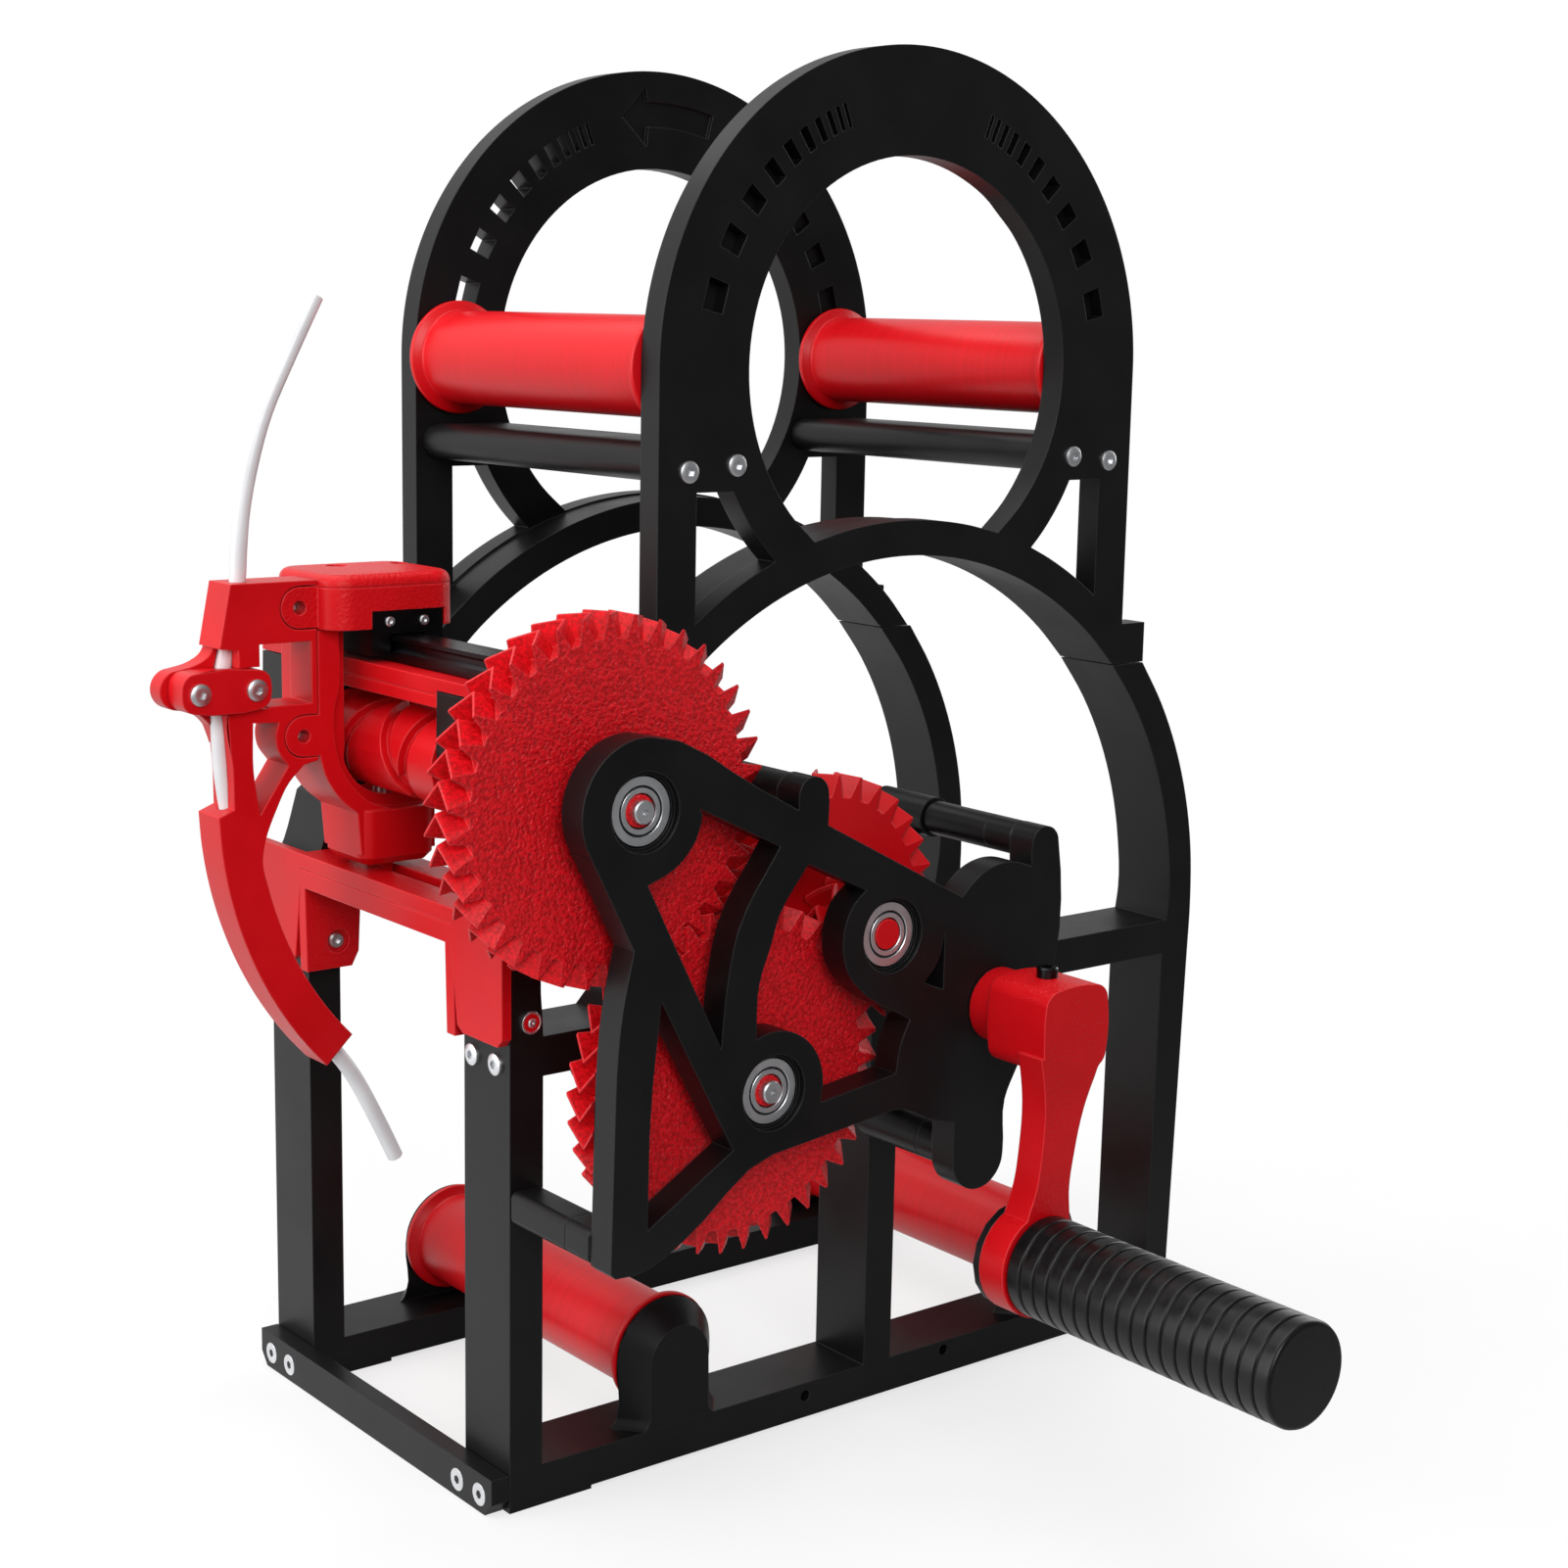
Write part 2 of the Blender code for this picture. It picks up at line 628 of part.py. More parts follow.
def plate_windows():
    upper = [(-95.3, 176.3), (-72.4, 165.2), (-79.2, 154.7), (-84.0, 147.3), (-87.0, 134.0),
             (-88.4, 120.2), (-109.3, 160.7)] + arc(CAM, 15.6, 292.0, 352.0, 6)
    middle = ([(-64.0, 160.2), (-46.4, 151.8)] + arc(SECOND, 15.3, 146.0, 222.0, 8)
              + [(-31.6, 118.2), (-34.4, 112.2), (-35.6, 105.4), (-58.8, 102.4)]
              + arc(IDLER, 14.6, -15.0, 112.0, 10)
              + [(-77.7, 134.1), (-74.8, 141.9), (-72.0, 149.7), (-67.0, 156.5)])
    lower = [(-105.2, 133.8), (-84.5, 95.5), (-108.4, 81.3), (-107.7, 110.5)]
    slit = [(-21.1, 138.3), (-21.1, 124.0), (-27.4, 126.7), (-23.4, 131.0)]
    return [upper, middle, lower, slit]


def gearbox_plate():
    near, far = PLATE_Y
    plate = prism("gearbox_plate", [plate_outline()] + plate_windows(), near, far)
    for label, axis in (("cam", CAM), ("second", SECOND), ("idler", IDLER), ("crank", CRANK)):
        cut(plate, rod(f"plate_pocket_{label}", axis, POCKET_R, near - 1,
                       near + BEARING_WIDTH + GAP),
            rod(f"plate_hole_{label}", axis, SHAFT_HOLE, near + 2.0, far + 1, steps=COARSE))
    return publish(plate, "gearbox_plate", "black_plastic")


def bearing(name, axis, near):
    inner, outer = BEARING_R
    far = near + BEARING_WIDTH
    profile = [(near, inner), (near, outer), (far, outer), (far, inner)]
    made = turned(name, profile, axis, ROUND, bored=True)
    return publish(made, name, "steel", (axis[0], near, axis[1]))


def standoffs():
    near, far = PLATE_Y[1] + GAP, -FRAME_Y - GAP
    for label, spot, radius in (("middle", STANDOFF_MIDDLE, 4.3), ("right", STANDOFF_RIGHT, 4.4),
                                ("low", STANDOFF_LOW, 5.2)):
        publish(rod("standoff_" + label, spot, radius, near, far),
                "standoff_" + label, "black_plastic")
    outline = rounded((POST_X[0], POST_X[1] - 0.4), STANDOFF_LEFT_Z, 1.8)
    publish(prism("standoff_left", [outline], near, far), "standoff_left", "black_plastic")


def gear_train():
    pinion_a = conjugate_tooth(PINION_TEETH, SECOND_TEETH, FIRST_SPAN)
    pinion_b = conjugate_tooth(PINION_TEETH, LARGE_TEETH, SECOND_SPAN)
    second_tooth, large_tooth = involute_tooth(SECOND_TEETH), involute_tooth(LARGE_TEETH)
    crank_phase = CRANK_PINION_TURN
    second_phase = mesh_phase(CRANK, PINION_TEETH, crank_phase, SECOND, SECOND_TEETH)
    small_phase = SECOND_PINION_TURN
    idler_phase = mesh_phase(SECOND, PINION_TEETH, small_phase, IDLER, LARGE_TEETH)
    cam_phase = mesh_phase(IDLER, LARGE_TEETH, idler_phase, CAM, LARGE_TEETH)

    drive = rod("drive_shaft", CRANK, SHAFT_R, -121.0, -33.4)
    add(drive, gear("drive_pinion", pinion_a, PINION_TEETH, CRANK, crank_phase, -1,
                    GEAR_REAR))
    publish(drive, "drive_shaft", "red_plastic", (CRANK[0], 0.0, CRANK[1]))

    rear = -FRAME_Y + BEARING_WIDTH
    second = rod("second_gear", SECOND, SHAFT_R, PLATE_Y[0] + 0.3, rear)
    add(second,
        gear("second_wheel", second_tooth, SECOND_TEETH, SECOND, second_phase, 1, GEAR_REAR),
        gear("second_pinion", pinion_b, PINION_TEETH, SECOND, small_phase, -1, GEAR_FRONT),
        rod("second_collar", SECOND, 5.0, GEAR_FRONT[1] - 1, GEAR_REAR[0] + 1))
    publish(second, "second_gear", "red_plastic", (SECOND[0], 0.0, SECOND[1]))

    idler = rod("idler_gear", IDLER, SHAFT_R, PLATE_Y[0] + 0.6, rear)
    add(idler, gear("idler_wheel", large_tooth, LARGE_TEETH, IDLER, idler_phase, 1, GEAR_FRONT),
        rod("idler_hub", IDLER, 7.0, GEAR_FRONT[0] - 3.0, -FRAME_Y - 2.0))
    publish(idler, "idler_gear", "red_plastic", (IDLER[0], 0.0, IDLER[1]))

    cam = rod("cam_gear", CAM, SHAFT_R, PLATE_Y[0] + 0.6, -FRAME_Y - GAP)
    add(cam, gear("cam_wheel", large_tooth, LARGE_TEETH, CAM, cam_phase, -1, GEAR_FRONT),
        rod("cam_hub", CAM, 7.0, GEAR_FRONT[0] - 3.0, -FRAME_Y - 2.0))
    publish(cam, "cam_gear", "red_plastic", (CAM[0], 0.0, CAM[1]))


def cam_ease():
    """Degrees of drum turn that each smooth turnaround takes."""
    reach = (CAM_STROKE[1] - CAM_STROKE[0]) / 2
    return 4 * (CAM_HALF_CYCLE / 2 - reach * 360.0 / CAM_LEAD)


def cam_path(turn):
    """Groove Y and its change per degree, at a turn counted from the near end."""
    near, far = CAM_STROKE
    slope, ease = CAM_LEAD / 360.0, cam_ease()
    left = CAM_HALF_CYCLE - turn
    if turn < ease / 2:
        return near + slope * turn**2 / ease, slope * 2 * turn / ease
    if left < ease / 2:
        return far - slope * left**2 / ease, slope * 2 * left / ease
    return (near + far) / 2 + slope * (turn - CAM_HALF_CYCLE / 2), slope


def groove(name, way):
    """Cutter along one stroke of the endless groove, right- or left-handed."""
    steps, overlap, shrink = 36, 6.0, 0.12
    left_at_rest = math.sqrt((CAM_STROKE[1] - CARRIAGE_Y) * cam_ease() * 360.0 / CAM_LEAD)
    near_end = 270.0 + CAM_HALF_CYCLE - left_at_rest
    turns = [CAM_HALF_CYCLE * k / steps for k in range(steps + 1)]
    rings = []
    for turn, inset in ([(-overlap, shrink)] + [(turn, 0.0) for turn in turns]
                        + [(CAM_HALF_CYCLE + overlap, shrink)]):
        y, change = cam_path(abs(turn) if turn <= CAM_HALF_CYCLE else CAM_HALF_CYCLE - overlap)
        lean = math.degrees(change) / DRUM_R
        half = GROOVE_WIDTH / 2 * math.hypot(1.0, lean) - inset
        angle = math.radians(near_end + way * turn)
        low, high = DRUM_R - GROOVE_DEPTH + inset, DRUM_R + 1.2
        rings.append([point(CAM[0] + r * math.cos(angle), y + d, CAM[1] + r * math.sin(angle))
                      for r, d in ((low, -half), (low, half), (high, half), (high, -half))])
    return skin(name, rings)


def cam_drum():
    profile = [(-FRAME_Y + 0.3, SHAFT_R), (-DRUM_Y, SHAFT_R), (-DRUM_Y, DRUM_R), (DRUM_Y, DRUM_R),
               (DRUM_Y, SHAFT_R), (FRAME_Y - 0.3, SHAFT_R)]
    drum = turned("cam_drum", profile, CAM, FINEST)
    cut(drum, groove("groove_right", 1), groove("groove_left", -1))
    return publish(drum, "cam_drum", "red_plastic", (CAM[0], 0.0, CAM[1]))


def crank():
    def along(s, v):
        return (CRANK[0] - s * math.sin(CRANK_LEAN) + v * math.cos(CRANK_LEAN),
                CRANK[1] - s * math.cos(CRANK_LEAN) - v * math.sin(CRANK_LEAN))

    side = [(7.5, 10.3), (12.0, 8.6), (19.5, 6.5), (30.5, 5.4), (39.8, 5.5), (46.0, 6.9)]
    waist = [along(s, v) for s, v in side] + [along(CRANK_LENGTH, 9.0)]
    waist += [along(CRANK_LENGTH, -9.0)] + [along(s, -v) for s, v in reversed(side)]
    hub = rounded((CRANK[0] - 10.3, CRANK[0] + 10.3), (CRANK[1] - 11.0, CRANK[1] + 10.0), 4.5)
    made = prism("crank_arm", [hub], *HUB_Y)
    ring_r = 13.1
    add(made, prism("crank_web", [waist], *ARM_Y),
        rod("crank_ring", HANDLE, ring_r, *ARM_Y, steps=FINEST),
        rod("crank_boss", CRANK, 9.2, HUB_Y[1] - 2.0, PLATE_Y[0] - 0.4))
    cut(made, rod("crank_bore", CRANK, SHAFT_R + GAP, -121.5, PLATE_Y[0] + 1.0),
        rod("crank_pivot_bore", HANDLE, 3.4, ARM_Y[0] - 1, ARM_Y[1] + 1, steps=COARSE))
    publish(made, "crank_arm", "red_plastic", (CRANK[0], 0.0, CRANK[1]))

    pin = [(ARM_Y[1] + 2.3, 13.0), (ARM_Y[1] + GAP, 13.0), (ARM_Y[1] + GAP, 3.0), (-204.0, 3.0)]
    publish(turned("handle_bolt", pin, HANDLE, ROUND), "handle_bolt", "black_plastic",
            (CRANK[0], 0.0, CRANK[1]))

    grip = [(GRIP_Y[0], GRIP_R - 0.8), (GRIP_Y[0] + 0.8, GRIP_R), (GRIP_Y[1] - 0.5, GRIP_R),
            (GRIP_Y[1], GRIP_R - 0.5)]
    handle = turned("handle_grip", grip, HANDLE, FINE)
    cut(handle, rod("grip_bore", HANDLE, 3.4, -204.6, GRIP_Y[1] + 1))
    publish(handle, "handle_grip", "grip_rubber", (HANDLE[0], 0.0, HANDLE[1]))

    dog = rod("spool_driver", CRANK, 20.0, -37.6, -33.6, steps=FINE)
    for k in range(3):
        a = math.radians(90 + 120 * k)
        spot = (CRANK[0] + 14.0 * math.cos(a), CRANK[1] + 14.0 * math.sin(a))
        add(dog, rod(f"driver_peg_{k}", spot, 2.6, -34.6, -26.0, steps=COARSE))
    cut(dog, rod("driver_bore", CRANK, SHAFT_R + GAP, -38.6, -32.0))
    publish(dog, "spool_driver", "red_plastic", (CRANK[0], 0.0, CRANK[1]))


def rollers():
    spots = (("lower_left", LOWER_ROLLERS[0]), ("lower_right", LOWER_ROLLERS[1]),
             ("upper_left", UPPER_ROLLERS[0]), ("upper_right", UPPER_ROLLERS[1]))
    lip = 3.0
    for label, axis in spots:
        profile = [(-ROLLER_Y, AXLE_R + GAP), (-ROLLER_Y, FLANGE_R),
                   (-ROLLER_Y + lip - 1.2, FLANGE_R), (-ROLLER_Y + lip, ROLLER_R),
                   (ROLLER_Y - lip, ROLLER_R), (ROLLER_Y - lip + 1.2, FLANGE_R),
                   (ROLLER_Y, FLANGE_R), (ROLLER_Y, AXLE_R + GAP)]
        publish(turned(f"{label}_roller", profile, axis, ROUND + 4, bored=True), f"{label}_roller",
                "red_plastic", (axis[0], 0.0, axis[1]))
        publish(rod(f"{label}_axle", axis, AXLE_R, -FRAME_Y + 1.5, FRAME_Y - 1.5, steps=COARSE),
                f"{label}_axle", "steel", (axis[0], 0.0, axis[1]))


def rail_and_guide():
    xs = (RAIL_X - 10.0, RAIL_X + 10.0)
    beam = box("rail_beam", xs, (-EAR_IN + GAP, EAR_IN - GAP), (BEAM_Z[0], BEAM_Z[1] + 0.5))
    add(beam, box("rail_beam_top", xs, (-FRAME_Y, FRAME_Y), (BEAM_Z[1], BEAM_Z[2])))
    publish(beam, "rail_beam", "red_plastic")
    rail_top = 205.0
    section = [(RAIL_X - 4.5, BEAM_Z[2] + GAP), (RAIL_X + 4.5, BEAM_Z[2] + GAP),
               (RAIL_X + 4.5, 201.2), (RAIL_X + 3.6, 202.2), (RAIL_X + 3.6, 203.2),
               (RAIL_X + 4.5, 204.0), (RAIL_X + 4.5, rail_top), (RAIL_X - 4.5, rail_top),
               (RAIL_X - 4.5, 204.0), (RAIL_X - 3.6, 203.2), (RAIL_X - 3.6, 202.2),
               (RAIL_X - 4.5, 201.2)]
    publish(prism("linear_rail", [section], -FRAME_Y, FRAME_Y), "linear_rail", "dark_steel")

    cheek = POST_X[0] - GAP
    guide = box("guide_bar", (-121.5, -98.5), (-FRAME_IN + GAP, FRAME_IN - GAP), GUIDE_Z)
    for side in (-1, 1):
        foot = [(-27.5, 137.5), (-27.5, GUIDE_Z[1]), (-59.5, GUIDE_Z[1]), (-59.5, 118.0),
                (-57.5, 116.0), (-42.5, 116.0), (-40.0, 117.5), (-37.0, 137.5)]
        rows = []
        for x in (cheek - 2.6, cheek):
            rows.append([point(x, -side * y, z) for y, z in foot])
        add(guide, skin(f"guide_foot_{side}", rows))
        ends = sorted((side * 34.5, side * (FRAME_IN - GAP)))
        add(guide, prism(f"guide_cheek_{side}", [[(-121.5, 137.5), (-121.0, 114.2), (-108.0, 114.2),
                                                 (-106.0, 118.0), (-105.0, 137.5)]], *ends))
    cut(guide, box("guide_slot", (RAIL_X - 2.6, RAIL_X + 2.6), (-29.5, 29.5),
                   (GUIDE_Z[0] - 1, GUIDE_Z[1] + 1)))
    publish(guide, "guide_bar", "red_plastic")


def tube_path():
    """Centre line of the stiff guide tube, top to bottom, in one plane across the rail."""
    loop = [(-128.4, 286.2), (-135.9, 272.0), (-142.3, 259.0), (-146.2, 247.0), (-148.6, 236.1),
            (-149.6, 227.0), (-150.2, 218.8), (-151.8, 209.5), (-154.0, 200.3), (-155.4, 193.0),
            (-155.7, 185.0), (-155.2, 174.0)]
    loop += arc(SWEEP, SWEEP_R, 182.5, 224.5, 8)
    loop += [(-120.2, 91.5), (-114.0, 79.8), (-108.5, 68.3)]
    return [Vector((x, CARRIAGE_Y - 4.0, z)) for x, z in loop]


def tube(name, radius, steps=8):
    path = tube_path()
    rings = []
    for k, knot in enumerate(path):
        way = (path[min(k + 1, len(path) - 1)] - path[max(k - 1, 0)]).normalized()
        side = Vector((way.z, 0.0, -way.x))
        ring = []
        for i in range(steps):
            turn = 2 * math.pi * i / steps
            ring.append(point(*(knot + radius * (side * math.cos(turn)
                                                 + Vector((0, 1, 0)) * math.sin(turn)))))
        rings.append(ring)
    return skin(name, rings)


def upright(name, outline, heights):
    """A body standing on an outline in X and Y."""
    return skin(name, [[point(x, y, z) for x, y in outline] for z in heights])


def carriage():
    mid = CARRIAGE_Y
    near, far = mid - 9.4, mid + 1.6
    pivot = (RAIL_X, mid, BEAM_Z[2])
    half_block = 10.0

    block = box("rail_block", (RAIL_X - half_block, RAIL_X + half_block),
                (mid - 14.5, mid + 14.5), (200.2, 211.0))
    cut(block, box("block_channel", (RAIL_X - 4.8, RAIL_X + 4.8), (mid - 16, mid + 16),
                   (199.0, 205.4)))
    publish(block, "rail_block", "dark_steel", pivot)

    lid = 1.6
    rows = []
    for z, inset in ((COVER_Z[0], 0.0), (COVER_Z[1] - lid, 0.0), (COVER_Z[1], lid)):
        outline = rounded((COVER_X[0] + inset, COVER_X[1] - inset),
                          (mid - 15.5 + inset, mid + 15.5 - inset), 7.0 - inset, 5)
        rows.append([point(x, y, z) for x, y in outline])
    cover = skin("block_cover", rows)
    cut(cover, box("cover_recess", (RAIL_X - half_block - GAP, RAIL_X + half_block + GAP),
                   (mid - 17, mid + 17), (COVER_Z[0] - 1, 211.0 + GAP)))
    lug_far = mid - 4.0
    lugs = {"upper": (-136.6, 212.5), "lower": (-135.9, 181.2)}
    wall = COVER_X[0]
    tongues = {}
    for label, (x, z) in lugs.items():
        outline = arc((x, z), 5.0, 90.0, 270.0, 10) + [(wall + 2.0, z - 5.0), (wall + 2.0, z + 5.0)]
        tongues[label] = prism(f"{label}_lug", [outline], near, lug_far)
    holes = {label: rod(f"{label}_lug_hole", spot, 1.7, near - 1, far + 1, steps=COARSE)
             for label, spot in lugs.items()}
    cut(add(cover, tongues["upper"]), holes["upper"])
    publish(cover, "block_cover", "red_plastic", pivot)

    top, inside = COVER_Z[0] - GAP, RAIL_X - DRUM_R - 1.0
    sweep = [(wall, top), (wall, 176.5), (-129.8, 170.2), (-126.4, 165.0), (-121.4, 160.6),
             (-120.5, 150.0), (-99.5, 150.0), (-99.5, 161.0), (-112.0, 161.0)]
    bracket = prism("follower_bracket", [sweep + [
        (-118.0, 163.2), (-122.8, 167.6), (-126.0, 173.0), (-127.6, 180.0), (-127.6, 187.0),
        (-126.3, 192.0), (-126.3, top)]], near, mid)
    hug = arc(CAM, DRUM_R + 1.6, 290.0, 195.0, 7) + [(inside, CAM[1]), (inside, top)]
    add(bracket, prism("follower_wall", [sweep[:-1] + hug], mid - 5.0, mid + 9.4))
    rows = []
    for z, inset in ((147.0, 2.0), (149.0, 0.0), (161.0, 0.0)):
        reach = 10.5 - inset
        outline = rounded((RAIL_X - reach, RAIL_X + reach), (mid - reach, mid + reach), 3.5 - inset)
        rows.append([point(x, y, z) for x, y in outline])
    add(bracket, skin("follower_housing", rows))
    foot = rounded((RAIL_X - 2.2, RAIL_X + 2.2), (mid - 4.0, mid + 4.0), 1.5)
    add(bracket, upright("follower_foot", foot, (137.2, 148.0)), tongues["lower"])
    pin_outline, bore_outline = (arc((RAIL_X, mid), radius, 0.0, 330.0, 11)
                                 for radius in (1.5, 1.5 + GAP))
    cut(bracket, holes["lower"], upright("pin_bore", bore_outline, (157.0, 167.0)))
    publish(bracket, "follower_bracket", "red_plastic", pivot)
    publish(upright("follower_pin", pin_outline, (157.0 + GAP, CAM[1] - DRUM_R - 0.4)),
            "follower_pin", "steel", pivot)

    edge = wall - GAP
    outline = [(edge, 219.0), (-154.7, 219.0), (-157.7, 203.8), (-152.9, 203.2), (-152.9, 199.2),
               (-156.0, 188.4), (-154.9, 175.0), (-154.7, 165.0)]
    outline += arc(SWEEP, SWEEP_R + 5.0, 182.0, 224.0, 9)
    outline += arc(SWEEP, SWEEP_R - 5.0, 224.0, 190.0, 8)
    outline += [(-146.6, 156.6), (-143.7, 163.7), (-140.1, 170.2), (-136.0, 174.2), (edge, 175.0)]
    upper = [(-147.4, 204.3), (-133.6, 204.3), (-133.6, 189.2), (-147.4, 189.2)]
    lower = [(-149.4, 185.5), (-142.6, 185.1), (-143.4, 182.0), (-142.9, 178.3), (-140.2, 174.4),
             (-147.9, 163.0), (-149.5, 173.9)]
    split = mid - 3.8
    ear_top, ear_low = 198.7, 189.1
    ear_outline = ([(-150.0, 204.0), (-156.2, 204.4), (-157.5, 202.0), (-160.5, 200.0)]
                   + arc((-165.7, (ear_top + ear_low) / 2), (ear_top - ear_low) / 2, 90, 270, 8)
                   + [(-160.5, 187.6), (-157.2, 184.5), (-155.6, 180.0), (-150.0, 178.0)])
    arm = prism("tube_arm", [outline, upper, lower], near, far)
    cut(arm, box("clamp_seat", (-180.0, -145.2), (near - 2, split), (ear_low - GAP,
                                                                    ear_top + GAP)))
    add(arm, prism("arm_ear", [ear_outline], split, far))
    for label, (x, z) in lugs.items():
        seat = arc((x, z), 5.0 + GAP, 90.0, 270.0, 10)
        seat += [(edge + 1.0, z - 5.0 - GAP), (edge + 1.0, z + 5.0 + GAP)]
        cut(arm, prism(f"{label}_lug_seat", [seat], near - 1, lug_far + GAP),
            rod(f"{label}_arm_hole", (x, z), 1.7, near - 2, far + 2, steps=COARSE))
    cut(arm, tube("tube_way", 2.0 + GAP))
    publish(arm, "tube_arm", "red_plastic", pivot)

    clamp = prism("tube_clamp", [rounded((-168.5, -145.5), (ear_low, ear_top), 3.6)], near - 2.2,
                  split - GAP)
    cut(clamp, tube("clamp_way", 2.0 + GAP))
    publish(clamp, "tube_clamp", "red_plastic", pivot)
    publish(tube("guide_tube", 2.0), "guide_tube", "white_tube", pivot)


def frames():
    near_frame()
    far_frame()
    ring_frame("near_ring_frame", -1)
    ring_frame("far_ring_frame", 1)
    for name, xs, top in (("left_crossbar", (CROSSBAR_X[0], POST_X[0] - GAP), 9.8),
                          ("right_crossbar", (107.6 + GAP, CROSSBAR_X[1]), 12.0)):
        side = [(-FRAME_Y, top), (-FRAME_Y, 3.5), (-FRAME_Y + 3.0, 0.0), (FRAME_Y - 3.0, 0.0),
                (FRAME_Y, 3.5), (FRAME_Y, top)]
        publish(skin(name, [[point(x, y, z) for y, z in side] for x in xs]), name,
                "black_plastic")
    radius = (TIE_Z[1] - TIE_Z[0]) / 2
    inner = FRAME_Y - RING_DEPTH - GAP
    for name, way in (("left_tie_bar", -1), ("right_tie_bar", 1)):
        ends = [(way * x, (TIE_Z[0] + TIE_Z[1]) / 2) for x in (TIE_X[0] + radius,
                                                              TIE_X[1] - radius)]
        publish(prism(name, [capsule(*ends, radius)], -inner, inner), name, "black_plastic")


def bearings():
    near = PLATE_Y[0]
    for label, axis in (("cam", CAM), ("second", SECOND), ("idler", IDLER), ("crank", CRANK)):
        bearing(f"{label}_front_bearing", axis, near)
    for label, axis in (("second", SECOND), ("idler", IDLER), ("crank", CRANK)):
        bearing(f"{label}_rear_bearing", axis, -FRAME_Y)
    bearing("drum_near_bearing", CAM, -FRAME_Y)
    bearing("drum_far_bearing", CAM, FRAME_Y - BEARING_WIDTH)


frames()
gearbox_plate()
standoffs()
bearings()
gear_train()
cam_drum()
crank()
rollers()
rail_and_guide()
carriage()
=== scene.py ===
import json
import math

import bmesh
import bpy
from mathutils import Matrix, Vector


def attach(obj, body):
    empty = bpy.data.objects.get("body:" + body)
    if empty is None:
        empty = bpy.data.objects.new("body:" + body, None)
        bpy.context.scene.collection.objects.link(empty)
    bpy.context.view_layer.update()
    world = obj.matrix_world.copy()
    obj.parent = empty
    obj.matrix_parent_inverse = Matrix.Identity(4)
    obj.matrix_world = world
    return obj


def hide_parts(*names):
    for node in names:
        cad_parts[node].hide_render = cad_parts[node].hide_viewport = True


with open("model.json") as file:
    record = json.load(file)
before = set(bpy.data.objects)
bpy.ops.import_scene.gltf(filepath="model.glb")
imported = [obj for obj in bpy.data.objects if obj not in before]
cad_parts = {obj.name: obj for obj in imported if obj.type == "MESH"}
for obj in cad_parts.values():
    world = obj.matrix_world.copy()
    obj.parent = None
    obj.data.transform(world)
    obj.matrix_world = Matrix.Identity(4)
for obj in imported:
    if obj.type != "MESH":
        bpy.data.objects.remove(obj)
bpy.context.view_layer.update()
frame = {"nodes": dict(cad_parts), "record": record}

centre = Vector((-28.75, -74.9, 0.0))  # middle of the winder's plan, in workshop millimetres


def place(x, y, z):  # workshop millimetres (x along the frames, y along the axles) to metres
    return (Vector((x, y, z)) - centre) * 0.001


# materials

def link(tree, source, target):
    tree.links.new(source, target)


def newFinish(name, colour, roughness, metallic=0.0, specular=0.5):
    finish = bpy.data.materials.new(name)
    finish.use_nodes = True
    tree = finish.node_tree
    shader = tree.nodes["Principled BSDF"]
    shader.inputs["Base Color"].default_value = (*colour, 1.0)
    shader.inputs["Roughness"].default_value = roughness
    shader.inputs["Metallic"].default_value = metallic
    shader.inputs["Specular IOR Level"].default_value = specular
    coords = tree.nodes.new("ShaderNodeTexCoord")
    return finish, tree, shader, coords.outputs["Object"]


def noise(tree, where, scale, detail=3.0, stretch=(1.0, 1.0, 1.0)):
    mapping = tree.nodes.new("ShaderNodeMapping")
    mapping.inputs["Scale"].default_value = stretch
    link(tree, where, mapping.inputs["Vector"])
    texture = tree.nodes.new("ShaderNodeTexNoise")
    texture.inputs["Scale"].default_value = scale
    texture.inputs["Detail"].default_value = detail
    link(tree, mapping.outputs["Vector"], texture.inputs["Vector"])
    return texture.outputs["Fac"]


def spread(tree, value, low, high, start=0.3, end=0.7):
    step = tree.nodes.new("ShaderNodeMapRange")
    step.inputs["From Min"].default_value = start
    step.inputs["From Max"].default_value = end
    step.inputs["To Min"].default_value = low
    step.inputs["To Max"].default_value = high
    link(tree, value, step.inputs["Value"])
    return step.outputs["Result"]


def calculate(tree, operation, first, second):
    step = tree.nodes.new("ShaderNodeMath")
    step.operation = operation
    for socket, value in zip(step.inputs, (first, second)):
        if isinstance(value, float):
            socket.default_value = value
        else:
            link(tree, value, socket)
    return step.outputs["Value"]


def blendColour(tree, value, first, second):
    ramp = tree.nodes.new("ShaderNodeValToRGB")
    ramp.color_ramp.elements[0].position = 0.3
    ramp.color_ramp.elements[1].position = 0.7
    ramp.color_ramp.elements[0].color = (*first, 1.0)
    ramp.color_ramp.elements[1].color = (*second, 1.0)
    link(tree, value, ramp.inputs["Fac"])
    return ramp.outputs["Color"]


